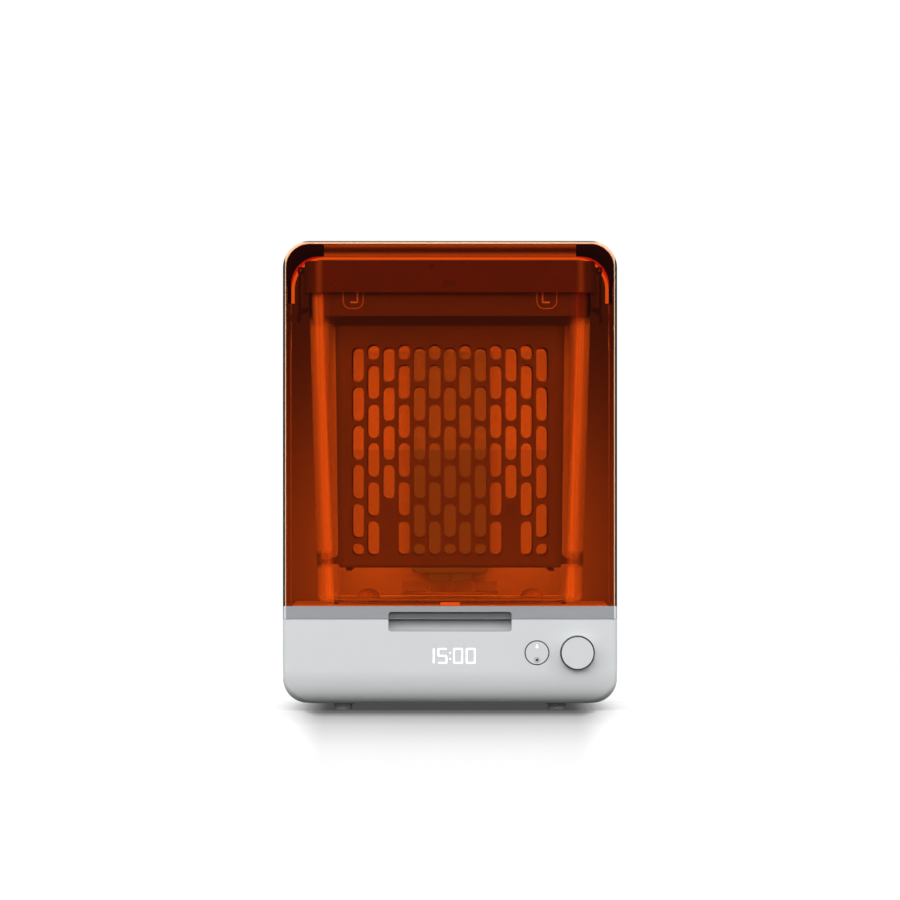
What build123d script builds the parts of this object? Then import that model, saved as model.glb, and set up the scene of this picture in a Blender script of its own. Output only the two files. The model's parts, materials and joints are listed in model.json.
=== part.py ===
from build123d import *
import os
from math import cos, radians, sin, sqrt

# Bench-top wash-and-cure station for resin dental parts, in millimetres.
# +Z is up, the front faces -Y, and the origin is the bottom centre of the overall box.

# ---------------------------------------------------------------- overall sizes
width = 290.0
height = 408.0
body_depth = 291.0
knob_protrusion = 9.0
foot_height = 6.0
base_top = 79.5
trim_height = 11.5

half_width = width / 2
front_y = knob_protrusion - (body_depth + knob_protrusion) / 2
rear_y = front_y + body_depth
middle_y = (front_y + rear_y) / 2
trim_top = base_top + trim_height

# ---------------------------------------------------------------- clearances
running_fit = 0.05
parting_gap = 0.4
seat_gap = 0.3
pin_clearance = 0.2
cut_over = 1.0

# ---------------------------------------------------------------- screws
screw_radius = 3.2
screw_head = 1.6
screw_shank_radius = 1.4
column_screw_length = 9.0
column_post_radius = 4.0
screw_cross_length = 4.2
screw_cross_width = 0.8

# ---------------------------------------------------------------- base housing
base_wall = 2.6
base_side_radius = 22.0
base_front_radius = 28.0
base_rear_radius = 22.0
base_corner_growth = 0.75
base_sections = 9
corner_radius = 3.0
corner_least_radius = 0.6
floor_plate_thickness = 2.6
floor_plate_inset = 34.0
floor_plate_radius = 12.0
floor_ledge = 9.0
floor_ledge_height = 2.6
plate_screw_share = 0.8
vent_slots = 9
vent_pitch = 12.0
vent_width = 4.0
vent_length = 50.0
vent_y = middle_y + 30.0
cable_slot_width = 150.0
cable_slot_depth = 15.0
cable_slot_radius = 3.0
foot_radius = 8.0
foot_stem_radius = 6.8
foot_seat = 1.6
foot_edge_radius = 1.2
foot_inset_x = 51.7
foot_inset_y = 45.0

floor_top = foot_height + floor_plate_thickness

# ---------------------------------------------------------------- finger recess
recess_width = 107.0
recess_below = 10.5
recess_above = 6.5
recess_depth = 12.0
trim_recess_depth = 4.4
recess_radius = 2.6
recess_lip = 1.0
recess_middle_angle = 45.0

recess_bottom = base_top - recess_below
recess_top = base_top + recess_above

# ---------------------------------------------------------------- controls
control_z = base_top - 29.0
button_x = half_width - 69.5
button_radius = 10.5
button_ring_gap = 0.35
button_thickness = 5.0
button_stem_radius = 2.5
button_stem_length = 2.0
button_travel = 1.0
button_edge_radius = 0.4
switch_size = 8.0
switch_tip = 2.0
knob_x = half_width - 34.3
knob_radius = 14.6
knob_ring_gap = 0.5
knob_cup_wall = 1.6
knob_face = 3.0
knob_sink = 1.2
knob_press_travel = 0.8
knob_edge_radius = 1.0
spindle_wall = 3.0
plunger_radius = 1.5
plunger_collar = 1.0
stem_reach = 8.0
encoder_size = 14.0
encoder_floor = 2.0
encoder_gap = 2.0
display_z = base_top - 31.5
digit_height = 14.3
display_width = 62.0
display_margin = 3.0
front_board_thickness = 1.6
front_board_depth = 14.6
front_post_radius = 2.5
front_post_inset = 4.0
front_post_rise = 5.0
front_post_left = 25.5
front_post_right = 18.5
front_board_left = -40.0
front_board_low = base_top - 47.5
front_board_high = base_top - 13.5

spindle_radius = plunger_radius + spindle_wall
stem_end_y = front_y + stem_reach
board_y = front_y + front_board_depth

# ---------------------------------------------------------------- hood
hood_wall = 3.0
hood_top_radius = 23.0
hood_edge_radius = 2.5
hood_pivot_inset = 25.0
hood_pivot_drop = 63.0
trim_wall = 6.0
hinge_pin_radius = 4.0
hinge_bush_radius = 9.0
hinge_cap_thickness = 1.2
hinge_pin_length = 22.5
hinge_block_width = 19.7
hinge_block_reach = 12.0
hinge_block_top = 9.0
lip_depth = 6.0
lip_thickness = 3.0
lip_corner_radius = 30.0
lip_seam = 0.01

pivot_y = rear_y - hood_pivot_inset
pivot_z = height - hood_pivot_drop
roof_z = height - hood_wall
hood_inner = half_width - hood_wall

# ---------------------------------------------------------------- rear column
column_depth = 45.0
column_back_depth = 23.0
column_wall = 2.5
column_head_gap = 9.0
column_lower_inset = 0.8
column_upper_inset = 3.6
column_step_rise = 12.0
column_top_radius = 26.4
column_edge_radius = 5.0
flank_gap = 4.0
column_screw_inset = 27.0
grille_rings = 5
grille_pitch = 5.0
grille_slot = 2.8
grille_spoke = 2.2
grille_spokes = 4

column_front_y = rear_y - column_depth
column_split_y = rear_y - column_back_depth
column_top = roof_z - column_head_gap
column_step_z = pivot_z + column_step_rise
column_screw_x = half_width - column_screw_inset
column_screw_z = (base_top + 30.5, pivot_z - 45.0)

# ---------------------------------------------------------------- deck
deck_rise = 1.0
deck_wall = 2.5
deck_gap = 1.4
deck_rear_gap = 0.5
deck_radius = 3.0
deck_edge_radius = 1.5
deck_post_radius = 4.0
sensor_width = 17.0
sensor_depth = 7.0
sensor_height = 2.2
sensor_setback = 3.0
sensor_edge_radius = 0.8

deck_top = trim_top + deck_rise

# ---------------------------------------------------------------- curing light bar
bar_width = 66.8
bar_depth = 17.0
bar_bottom = deck_top + 25.0
bar_top = column_top - 14.0
bar_wall = 2.0
bar_corner_radius = 4.0
bar_edge_radius = 1.5
bar_step_width = 38.0
bar_step_drop = 8.0
bar_step_back = 2.0
bar_toe_width = 7.6
bar_toe_drop = 2.8
bar_notch = 1.0
bar_notch_depth = 2.0
led_board_width = 46.0
led_board_thickness = 1.6
led_size = 3.5
led_height = 1.2
led_rows = 14
led_column_x = 14.0
heat_base = 4.0
heat_sink_proud = 0.5
heat_fin_depth = 12.0
heat_fin_count = 11
heat_fin_thickness = 1.4
heat_sink_width = 60.0
heat_sink_margin = 22.0
heat_window_gap = 0.5

bar_front_y = column_front_y - bar_depth
heat_sink_bottom = bar_bottom + heat_sink_margin
heat_sink_top = bar_top - heat_sink_margin

# ---------------------------------------------------------------- cooling fan
fan_size = 60.0
fan_depth = 15.0
fan_bore_radius = 28.0
fan_tip_gap = 1.2
fan_hub_radius = 11.0
fan_arm = 2.0
fan_arm_width = 3.0
fan_blades = 7
fan_blade_thickness = 1.2
fan_blade_chord = 12.5
fan_blade_pitch = 38.0
fan_axle_radius = 1.5
fan_axle_reach = 11.0
fan_corner_radius = 4.0
fan_back_gap = 0.8
fan_blade_root = 2.0
fan_arms = 4

fan_z = (heat_sink_bottom + heat_sink_top) / 2
fan_front_y = rear_y - column_wall - fan_depth

# ---------------------------------------------------------------- bucket lid and its space under the hood
lid_head_gap = 14.0
lid_height = 27.5
lid_overlap = 2.5
lid_gap = 0.5
lid_wall = 2.2
lid_taper = 1.6
lid_radius = 19.0
lid_edge_radius = 2.0
lid_ledge = 2.0
lid_ledge_reach = 2.0

lid_top_z = roof_z - lid_head_gap
lid_bottom_z = lid_top_z - lid_height

# ---------------------------------------------------------------- wash bucket
bucket_side_space = 19.0
bucket_front_space = 13.0
bucket_rear_space = 13.0
bucket_foot_height = 2.2
bucket_taper = 7.8
bucket_wall = 2.5
bucket_radius = 20.0
bucket_floor_radius = 6.0
bucket_foot_width = 6.0
bucket_foot_inset = 12.0
bucket_foot_radius = 10.0
bucket_foot_inner_radius = 5.0
bucket_radius_fall = 2.0
bucket_rim_lip = 2.2
bucket_rim_height = 3.0
nub_width = 22.0
nub_reach = 4.2
nub_height = 5.0
nub_drop = 6.0

bucket_front_y = front_y + hood_wall + bucket_front_space
bucket_rear_y = bar_front_y - bucket_rear_space
bucket_y = (bucket_front_y + bucket_rear_y) / 2
bucket_top_width = 2 * (hood_inner - bucket_side_space)
bucket_top_depth = bucket_rear_y - bucket_front_y
bucket_top_z = lid_bottom_z + lid_overlap
bucket_bottom_z = deck_top + bucket_foot_height
bucket_rim_low = bucket_top_z - bucket_rim_height
nub_top_z = bucket_rim_low - nub_drop
lid_width = bucket_top_width + 2 * (bucket_rim_lip + lid_gap + lid_wall)
lid_depth = bucket_top_depth + 2 * (bucket_rim_lip + lid_gap + lid_wall)

# ---------------------------------------------------------------- lid's gasket and latches
gasket_height = 2.0
gasket_width = 5.0
latch_width = 34.0
latch_plate = 1.8
latch_pivot_drop = 7.0
latch_pivot_reach = 3.2
latch_pin_radius = 1.2
latch_barrel_radius = 2.6
latch_length = 46.0
latch_hook_gap = 1.2
latch_hook_play = 1.0
latch_flare = 1.2
latch_plate_offset = 0.2
latch_bend_out = 9.0
latch_bend_in = 7.0
latch_hook_root = 6.5
latch_hook_tip = 2.5
latch_pin_setback = 1.0
latch_ear_inset = 4.0
latch_ear_width = 3.0
latch_ear_half_height = 3.0
latch_ear_wall = 1.2

latch_pivot_x = lid_width / 2 + latch_pivot_reach
latch_pivot_z = lid_top_z - latch_pivot_drop
latch_bottom_z = latch_pivot_z - latch_length
latch_ear_y = latch_width / 2 - latch_ear_inset - latch_ear_width / 2

# ---------------------------------------------------------------- wash drive
impeller_rise = 5.8
impeller_radius = 42.0
impeller_blades = 6
impeller_plate = 2.5
impeller_blade_height = 9.0
impeller_blade_thickness = 2.2
impeller_hub_wall = 5.0
spigot_radius = 3.9
spigot_height = 6.0
motor_radius = 21.0
motor_height = 34.0
motor_shaft_radius = 3.0
motor_shaft_depth = 12.0
motor_shaft_gap = 2.0
motor_edge_radius = 1.5
motor_drop = 14.0
bracket_thickness = 3.0
bracket_width = 88.0
bracket_depth = 64.0
bracket_post_radius = 3.5
bracket_post_inset = 6.0
bracket_corner_radius = 6.0
carrier_radius = 33.0
carrier_height = 8.0
carrier_gap = 1.0
magnet_radius = 6.0
magnet_inset = 3.0
magnet_count = 4

impeller_z = bucket_bottom_z + impeller_rise
motor_top_z = base_top - base_wall - motor_drop
carrier_low_z = base_top - base_wall - carrier_gap - carrier_height
magnet_low_z = carrier_low_z + carrier_height / 2

# ---------------------------------------------------------------- basket
basket_gap = 1.4
basket_wall = 2.2
basket_shoulder = 19.1
basket_band_height = 22.8
basket_shoulder_height = 8.2
basket_floor_gap = 12.5
basket_taper = 2.6
basket_radius = 9.0
basket_flange = 2.0
basket_flange_inset = 0.5
slot_pitch_x = 13.4
slot_pitch_z = 34.2
slot_width = 10.5
slot_length = 29.7
slot_corner_trim = 0.4
slot_low_margin = 10.4
slot_high_margin = 16.4
slot_side_margin = 14.0
short_slot = 10.3
half_row_shift = 2.0
blocked_column = 4
floor_slot_pitch = 16.6
floor_slot_width = 8.5
floor_slot_length = 34.0
floor_row_pitch = 44.0
mark_width = 7.0
mark_height = 12.4
mark_rise = 47.3
mark_depth = 1.0
fin_gap = 0.5
fin_lift = 2.6
fin_tip_height = 3.2
fin_root_height = 11.5
fin_depth = 60.0
fin_wall = 3.0
fin_sink = 1.0
fin_step = 4.0
basket_foot_inset = 12.0
basket_foot_radius = 2.6
basket_foot_height = 3.0
ear_x = 84.2
ear_width = 18.0
ear_height = 16.0
ear_wall = 4.2
ear_hole_width = 8.8
ear_sliver = 1.2
ear_seat_depth = 0.5
lug_depth = 8.0
ear_hole_radius = 1.2
ear_bore_margin = 1.5
bail_end_inset = 3.0
bail_arm_inset = 3.0
basket_floor_radius = 3.0
slot_overrun = 6.0
bail_radius = 1.5
bail_play = 0.15
bail_elbow = 4.0
bail_reach = 62.0
bail_corner = 16.0

basket_band_width = bucket_top_width - 2 * (bucket_wall + basket_gap)
basket_band_depth = bucket_top_depth - 2 * (bucket_wall + basket_gap)
basket_body_width = basket_band_width - 2 * basket_shoulder
basket_body_depth = basket_band_depth - 2 * basket_shoulder
basket_band_bottom = bucket_top_z - basket_band_height
basket_body_top = basket_band_bottom - basket_shoulder_height
basket_bottom = impeller_z + impeller_plate + impeller_blade_height + basket_floor_gap
slot_field_bottom = basket_bottom + slot_low_margin
slot_field_top = basket_body_top - slot_high_margin
slot_rows = int((slot_field_top - slot_field_bottom) / slot_pitch_z)
front_columns = int((basket_body_width / 2 - slot_side_margin) / slot_pitch_x)
side_columns = int((basket_body_depth / 2 - slot_side_margin) / slot_pitch_x)
mark_z = basket_bottom + mark_rise
ear_bottom_z = bucket_top_z - ear_height
bail_z = bucket_top_z - ear_height / 2 + bail_radius

# ---------------------------------------------------------------- electronics
board_rise = 9.4
control_board_near_x = 22.0
control_board_depth = 90.0
control_board_thickness = 1.6
control_board_rear = 33.0
board_post_inset = 5.0
board_parts = ((0.22, 0.25, 14, 14, 3), (0.65, 0.3, 18, 18, 4),
               (0.75, 0.7, 16, 22, 14), (0.3, 0.75, 24, 12, 10))
board_post_radius = 3.0
supply_near_x = 22.0
supply_depth = 96.0
supply_height = 40.0
supply_corner_radius = 3.0
electronics_inset = 49.0
electronics_rear = 47.0
inlet_inset = 50.0
inlet_rise = 38.0
inlet_width = 27.5
inlet_height = 20.0
inlet_depth = 24.0
inlet_socket_depth = 15.0
inlet_pin_depth = 6.0
inlet_corner_radius = 2.0
inlet_socket_radius = 3.0
inlet_side_wall = 2.0
inlet_end_wall = 2.5
inlet_pin_half_x = 1.0
inlet_pin_half_z = 2.0
inlet_pins = ((-7.0, -1.5), (7.0, -1.5), (0.0, 2.5))
panel_fit = 0.15
rocker_inset = 83.0
rocker_width = 13.0
rocker_height = 19.0
rocker_depth = 14.0
rocker_frame_wall = 1.2
rocker_corner_radius = 0.8
rocker_floor = 2.0
rocker_end_gap = 2.0
rocker_edge_depth = 5.0
rocker_belly = 3.0
rocker_tilt = 7.0
rocker_sink = 1.1
rocker_valley = 1.8
rocker_pin_depth = 6.0
rocker_pin_radius = 1.2

inlet_x = -(half_width - inlet_inset)
inlet_z = foot_height + inlet_rise
rocker_x = -(half_width - rocker_inset)
rocker_pin_y = rear_y - rocker_pin_depth

PARTS = "parts"


# ================================================================ helpers
def box_between(low, high):
    """A box from one corner to the opposite corner, in any order."""
    size = [abs(h - l) for l, h in zip(low, high)]
    centre = [(h + l) / 2 for l, h in zip(low, high)]
    return Pos(*centre) * Box(*size)


def rod(centre, radius, length, axis):
    """A cylinder centred on a point, along the X, Y or Z axis."""
    turn = {"X": Rot(0, 90, 0), "Y": Rot(90, 0, 0), "Z": Rot(0, 0, 0)}[axis]
    return Pos(*centre) * turn * Cylinder(radius, length)


def rod_y(x, z, radius, y_low, y_high):
    """A cylinder along Y between two ends."""
    return rod((x, (y_low + y_high) / 2, z), radius, y_high - y_low, "Y")


def rod_z(x, y, radius, z_low, z_high):
    """A cylinder along Z between two ends."""
    return rod((x, y, (z_low + z_high) / 2), radius, z_high - z_low, "Z")


def front_plate(centre_x, centre_z, size_x, size_z, y_low, y_high, radius):
    """A plate whose face is a rounded rectangle in the XZ plane."""
    face = Plane((centre_x, y_high, centre_z), x_dir=(1, 0, 0), z_dir=(0, -1, 0))
    return extrude(face * RectangleRounded(size_x, size_z, radius), amount=y_high - y_low)


def level_plate(centre_x, centre_y, size_x, size_y, z_low, z_high, radius):
    """A plate whose face is a rounded rectangle in the XY plane."""
    face = Plane((centre_x, centre_y, z_low))
    return extrude(face * RectangleRounded(size_x, size_y, radius), amount=z_high - z_low)


def tapered_block(size_low, size_high, z_low, z_high, radius_low, radius_high, centre_y):
    """A block between two rounded rectangles at two heights."""
    low = Plane((0, centre_y, z_low)) * RectangleRounded(*size_low, radius_low)
    high = Plane((0, centre_y, z_high)) * RectangleRounded(*size_high, radius_high)
    return loft([low, high])


def arched_block(half_span, z_low, z_high, top_radius, y_low, y_high):
    """A block along Y with rounded upper corners."""
    shoulder = z_high - top_radius
    with BuildSketch(Plane((0, y_high, 0), x_dir=(1, 0, 0), z_dir=(0, -1, 0))) as sketch:
        with BuildLine():
            Polyline((-half_span, shoulder), (-half_span, z_low), (half_span, z_low), (half_span, shoulder))
            RadiusArc((-half_span, shoulder), (-half_span + top_radius, z_high), top_radius)
            Line((-half_span + top_radius, z_high), (half_span - top_radius, z_high))
            RadiusArc((half_span - top_radius, z_high), (half_span, shoulder), top_radius)
        make_face()
    return extrude(sketch.sketch, amount=y_high - y_low)


def side_profile(points, x_low, x_high):
    """A straight-sided outline in the YZ plane, extruded along X."""
    with BuildSketch(Plane((x_low, 0, 0), x_dir=(0, 1, 0), z_dir=(1, 0, 0))) as sketch:
        with BuildLine():
            Polyline(*points, close=True)
        make_face()
    return extrude(sketch.sketch, amount=x_high - x_low)


def front_profile(points, y_low, y_high):
    """A straight-sided outline in the XZ plane, extruded along Y."""
    with BuildSketch(Plane((0, y_high, 0), x_dir=(1, 0, 0), z_dir=(0, -1, 0))) as sketch:
        with BuildLine():
            Polyline(*points, close=True)
        make_face()
    return extrude(sketch.sketch, amount=y_high - y_low)


def below(z):
    """Everything below a height."""
    return box_between((-2 * width, -2 * width, -width), (2 * width, 2 * width, z))


def above(z):
    """Everything above a height."""
    return box_between((-2 * width, -2 * width, z), (2 * width, 2 * width, z + 4 * width))


def gather(pieces):
    """One shape that holds several separate solids."""
    solids = []
    for piece in pieces:
        solids.extend(piece.solids())
    return Compound(children=solids)


def mirrored_pair(piece):
    """A piece and its mirror image across the YZ plane."""
    return gather([piece, mirror(piece, about=Plane.YZ)])


def corners_of(reach_x, reach_y, centre_y):
    """The four corner points of a rectangle centred on the YZ plane."""
    return [(sx * reach_x, centre_y + sy * reach_y) for sx in (-1, 1) for sy in (-1, 1)]


def cross_screw(place, shank):
    """A pan-head screw with a cross recess: head face at the placed origin, shank along its +Z."""
    grip = (Align.CENTER, Align.CENTER, Align.MIN)
    body = Cylinder(screw_radius, screw_head, align=grip)
    body += Cylinder(screw_shank_radius, screw_head + shank, align=grip)
    body -= Box(screw_cross_length, screw_cross_width, screw_head)
    body -= Box(screw_cross_width, screw_cross_length, screw_head)
    return place * body


# ================================================================ finger recess
def recess_face(depth, grow):
    """The recess's rounded front outline, cut to a depth and grown all round."""
    centre_z = (recess_bottom + recess_top) / 2
    return front_plate(0, centre_z, recess_width + 2 * grow, recess_top - recess_bottom + 2 * grow,
                       front_y - cut_over, front_y + depth + grow, recess_radius + grow)


def scoop_cut(grow):
    """The base's half of the recess: a scoop that curves back under the hood's trim."""
    lip_y = front_y + recess_lip
    back_y = front_y + recess_depth + grow
    low_z = recess_bottom - grow
    turn = radians(recess_middle_angle)
    middle = (lip_y + (back_y - lip_y) * cos(turn), base_top - (base_top - low_z) * sin(turn))
    with BuildSketch(Plane((-half_width, 0, 0), x_dir=(0, 1, 0), z_dir=(1, 0, 0))) as sketch:
        with BuildLine():
            Polyline((lip_y, low_z), (front_y - cut_over, low_z), (front_y - cut_over, base_top + cut_over),
                     (back_y, base_top + cut_over), (back_y, base_top))
            ThreePointArc((back_y, base_top), middle, (lip_y, low_z))
        make_face()
    return extrude(sketch.sketch, amount=width) & recess_face(recess_depth, grow)


# ================================================================ base
def arc_inset(radius, rise):
    """How far a quarter round of a radius has come in at a height above its foot."""
    if rise >= radius:
        return 0.0
    return radius - sqrt(radius ** 2 - (radius - rise) ** 2)


def base_section(inset, rise):
    """The base's rounded outline at a height above its underside."""
    side = inset + arc_inset(base_side_radius - inset, rise)
    y_low = front_y + inset + arc_inset(base_front_radius - inset, rise)
    y_high = rear_y - inset - arc_inset(base_rear_radius - inset, rise)
    soft = max(corner_radius - inset, corner_least_radius)
    soft += base_corner_growth * arc_inset(base_side_radius - inset, rise)
    level = Plane((0, (y_low + y_high) / 2, foot_height + inset + rise))
    return level * RectangleRounded(width - 2 * side, y_high - y_low, soft)


def base_blank(inset):
    """The outer shape of the base, moved inwards by an inset: a bowl with straight walls above it."""
    bowl_height = base_front_radius - inset
    rises = [bowl_height * (1 - cos(radians(90 * step / base_sections))) for step in range(base_sections + 1)]
    bowl = loft([base_section(inset, rise) for rise in rises])
    walls = extrude(base_section(inset, bowl_height), amount=base_top - foot_height - inset - bowl_height)
    return bowl + walls


def floor_slab(grow, z_low, z_high):
    """A slab with the outline of the bottom opening, grown or shrunk all round."""
    size_x = width - 2 * floor_plate_inset + 2 * grow
    size_y = body_depth - 2 * floor_plate_inset + 2 * grow
    return level_plate(0, middle_y, size_x, size_y, z_low, z_high, floor_plate_radius + grow)


def plate_screw_places():
    """The centres of the bottom cover's screws, on the housing's ledge."""
    reach_x = half_width - floor_plate_inset - floor_ledge / 2
    reach_y = (body_depth / 2 - floor_plate_inset - floor_ledge / 2) * plate_screw_share
    return corners_of(reach_x, reach_y, middle_y)


def foot_places():
    """The centres of the four feet."""
    return corners_of(half_width - foot_inset_x, body_depth / 2 - foot_inset_y, middle_y)


def build_base_shell():
    """The light grey housing with the holes of its front controls and its rear cut-outs."""
    hollow = base_blank(base_wall) & below(base_top - base_wall)
    shell = base_blank(0) - hollow
    pocket = scoop_cut(base_wall) & box_between((-half_width, front_y + base_wall / 2, 0),
                                                (half_width, rear_y, base_top))
    shell += pocket
    shell -= scoop_cut(0)
    shell += floor_slab(floor_ledge, floor_top, floor_top + floor_ledge_height)
    shell -= floor_slab(0, 0, floor_top)
    shell -= floor_slab(-floor_ledge, floor_top - cut_over, floor_top + floor_ledge_height + cut_over)
    for x, y in plate_screw_places():
        shell -= rod((x, y, floor_top), screw_shank_radius, 4 * floor_ledge_height, "Z")
    shell -= rod((button_x, front_y, control_z), button_radius + button_ring_gap, 4 * base_wall, "Y")
    shell -= rod((knob_x, front_y, control_z), knob_radius + knob_ring_gap, 4 * base_wall, "Y")
    shell -= front_plate(inlet_x, inlet_z, inlet_width, inlet_height, rear_y - 3 * base_wall,
                         rear_y + cut_over, inlet_corner_radius)
    shell -= front_plate(rocker_x, inlet_z, rocker_width, rocker_height, rear_y - 3 * base_wall,
                         rear_y + cut_over, rocker_corner_radius)
    slot_y = (column_front_y + rear_y) / 2
    shell -= level_plate(0, slot_y, cable_slot_width, cable_slot_depth, base_top - 2 * base_wall,
                         base_top + cut_over, cable_slot_radius)
    return shell


def build_base_plate():
    """The bottom cover with its ventilation slots, feet seats and screw holes."""
    plate = floor_slab(-parting_gap, foot_height, floor_top)
    for row in range(vent_slots):
        slot_x = vent_pitch * (row - (vent_slots - 1) / 2)
        plate -= level_plate(slot_x, vent_y, vent_width, vent_length, 0, 2 * floor_top,
                             vent_width / 2 - seat_gap)
    for x, y in foot_places():
        plate -= rod((x, y, foot_height), foot_stem_radius, 2 * foot_seat, "Z")
    for x, y in plate_screw_places():
        plate -= rod((x, y, foot_height), screw_radius, 2 * screw_head, "Z")
        plate -= rod((x, y, foot_height), screw_shank_radius, 2 * floor_top, "Z")
    return plate


def build_plate_screws():
    """The screws that hold the bottom cover on."""
    return gather([cross_screw(Pos(x, y, foot_height), floor_plate_thickness) for x, y in plate_screw_places()])


def build_feet():
    """Four rubber feet, pressed into the bottom cover."""
    feet = []
    for x, y in foot_places():
        foot = rod_z(x, y, foot_radius, 0, foot_height)
        foot = fillet(foot.edges().group_by(Axis.Z)[0], foot_edge_radius)
        feet.append(foot + rod_z(x, y, foot_stem_radius, foot_height, foot_height + foot_seat))
    return gather(feet)


def build_deck():
    """The tray on the base that the bucket stands on, inside the hood's trim."""
    half_x = half_width - trim_wall - deck_gap
    y_low = front_y + trim_wall + deck_gap
    y_high = column_front_y - deck_rear_gap
    centre_y = (y_low + y_high) / 2
    size_y = y_high - y_low
    tray = level_plate(0, centre_y, 2 * half_x, size_y, base_top, deck_top, deck_radius)
    tray = fillet(tray.faces().sort_by(Axis.Z)[-1].edges(), deck_edge_radius)
    tray -= level_plate(0, centre_y, 2 * (half_x - deck_wall), size_y - 2 * deck_wall,
                        base_top - cut_over, deck_top - deck_wall, deck_radius / 2)
    for x, y in corners_of(bucket_top_width / 4, bucket_top_depth / 4, bucket_y):
        tray += rod_z(x, y, deck_post_radius, base_top, deck_top - cut_over)
    return tray


def build_sensor():
    """The small block at the front of the deck that tells when the hood is shut."""
    y_low = front_y + trim_wall + deck_gap + sensor_setback
    block = box_between((-sensor_width / 2, y_low, deck_top),
                        (sensor_width / 2, y_low + sensor_depth, deck_top + sensor_height))
    return fillet(block.edges().filter_by(Axis.Z), sensor_edge_radius)


# ================================================================ controls
def build_mode_button():
    """The round flush button with its stem."""
    cap = rod_y(button_x, control_z, button_radius, front_y, front_y + button_thickness)
    cap = fillet(cap.faces().sort_by(Axis.Y)[0].edges(), button_edge_radius)
    back = front_y + button_thickness
    return cap + rod_y(button_x, control_z, button_stem_radius, back, back + button_stem_length)


def build_mode_switch():
    """The push switch behind the mode button."""
    tip = front_y + button_thickness + button_stem_length + button_travel + running_fit
    half = switch_size / 2
    body = box_between((button_x - half, tip + switch_tip, control_z - half),
                       (button_x + half, board_y, control_z + half))
    return body + rod_y(button_x, control_z, half / 2, tip, tip + switch_tip)


def build_front_board():
    """The circuit board behind the front wall, which carries display, switch and encoder."""
    return box_between((front_board_left, board_y, front_board_low),
                       (knob_x + encoder_size, board_y + front_board_thickness, front_board_high))


def build_display():
    """The display's segment block, which shines through the thin front wall."""
    half_z = digit_height / 2 + display_margin
    return box_between((-display_width / 2, front_y + base_wall + seat_gap, display_z - half_z),
                       (display_width / 2, board_y, display_z + half_z))


def board_post_places():
    """The centres of the front board's posts."""
    low = front_board_low + front_post_rise
    high = front_board_high - front_post_inset
    left = front_board_left + front_post_inset
    return [(left, low), (left, high), (button_x - front_post_left, low), (button_x + front_post_right, low)]


def build_board_posts():
    """The posts that hold the front board to the housing."""
    posts = [rod_y(x, z, front_post_radius, front_y + base_wall, board_y) for x, z in board_post_places()]
    return gather(posts)


def build_knob():
    """The turning knob: a cup with a bored stem."""
    face_y = front_y - knob_protrusion
    floor_y = face_y + knob_face
    back_y = front_y + knob_sink
    cup = rod_y(knob_x, control_z, knob_radius, face_y, back_y)
    cup = fillet(cup.faces().sort_by(Axis.Y)[0].edges(), knob_edge_radius)
    cup -= rod_y(knob_x, control_z, knob_radius - knob_cup_wall, floor_y, back_y + cut_over)
    cup += rod_y(knob_x, control_z, spindle_radius, floor_y - cut_over, stem_end_y)
    return cup - rod_y(knob_x, control_z, plunger_radius + running_fit, floor_y, stem_end_y + cut_over)


def build_plunger():
    """The rod that carries the knob and presses the switch in the encoder."""
    floor_y = front_y - knob_protrusion + knob_face
    pin = rod_y(knob_x, control_z, plunger_radius, floor_y, stem_end_y + plunger_collar + knob_press_travel)
    return pin + rod_y(knob_x, control_z, spindle_wall, stem_end_y, stem_end_y + plunger_collar)


def build_encoder():
    """The encoder on the front board, with a bore that the knob's stem turns in."""
    half = encoder_size / 2
    y_low = front_y + encoder_gap
    block = box_between((knob_x - half, y_low, control_z - half), (knob_x + half, board_y, control_z + half))
    bore_end = board_y - encoder_floor
    return block - rod_y(knob_x, control_z, spindle_radius + running_fit, y_low - cut_over, bore_end)


# ================================================================ hood
def hood_blank(inset, z_low, y_high):
    """The hood's outer block, moved inwards by an inset."""
    return arched_block(half_width - inset, z_low, height - inset,
                        hood_top_radius - inset, front_y + inset, y_high)


def hinge_side_cut():
    """What the hood's sides leave out below and behind the hinge, so that they can swing."""
    cut = box_between((-width, pivot_y, 0), (width, rear_y + cut_over, pivot_z))
    return cut - rod((0, pivot_y, pivot_z), hood_pivot_inset, 2 * width, "X")


def rear_lip():
    """The rib round the hood's rear opening: full in the corners, straight along the roof."""
    y_low = rear_y - lip_thickness
    lip_low = roof_z - lip_depth
    ring = arched_block(hood_inner, column_step_z, roof_z, hood_top_radius - hood_wall, y_low, rear_y)
    return ring - arched_block(hood_inner - lip_seam, column_step_z - cut_over, lip_low, lip_corner_radius,
                               y_low - cut_over, rear_y + cut_over)


def build_hood_shell():
    """The orange hood: front, sides and roof in one moulding, open below and behind."""
    outer = hood_blank(0, trim_top, rear_y)
    front_edges = [e for e in outer.faces().sort_by(Axis.Y)[0].edges() if e.center().Z > trim_top + 1]
    outer = fillet(front_edges, hood_edge_radius)
    shell = outer - hood_blank(hood_wall, trim_top - cut_over, rear_y + cut_over)
    shell -= hinge_side_cut()
    shell += rear_lip()
    return shell - rod((0, pivot_y, pivot_z), hinge_bush_radius, 2 * width, "X")


def build_hood_trim():
    """The grey band at the hood's lower edge, with the upper half of the finger recess."""
    z_low = base_top + parting_gap
    band = hood_blank(0, z_low, pivot_y) - above(trim_top)
    band = fillet([e for e in band.edges().filter_by(Axis.Z) if e.center().Y < 0], hood_edge_radius)
    band -= box_between((-half_width + trim_wall, front_y + trim_wall, 0),
                        (half_width - trim_wall, rear_y, height))
    band -= box_between((-hood_inner, column_front_y - deck_gap, 0), (hood_inner, rear_y, height))
    return band - recess_face(trim_recess_depth, 0)


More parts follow.
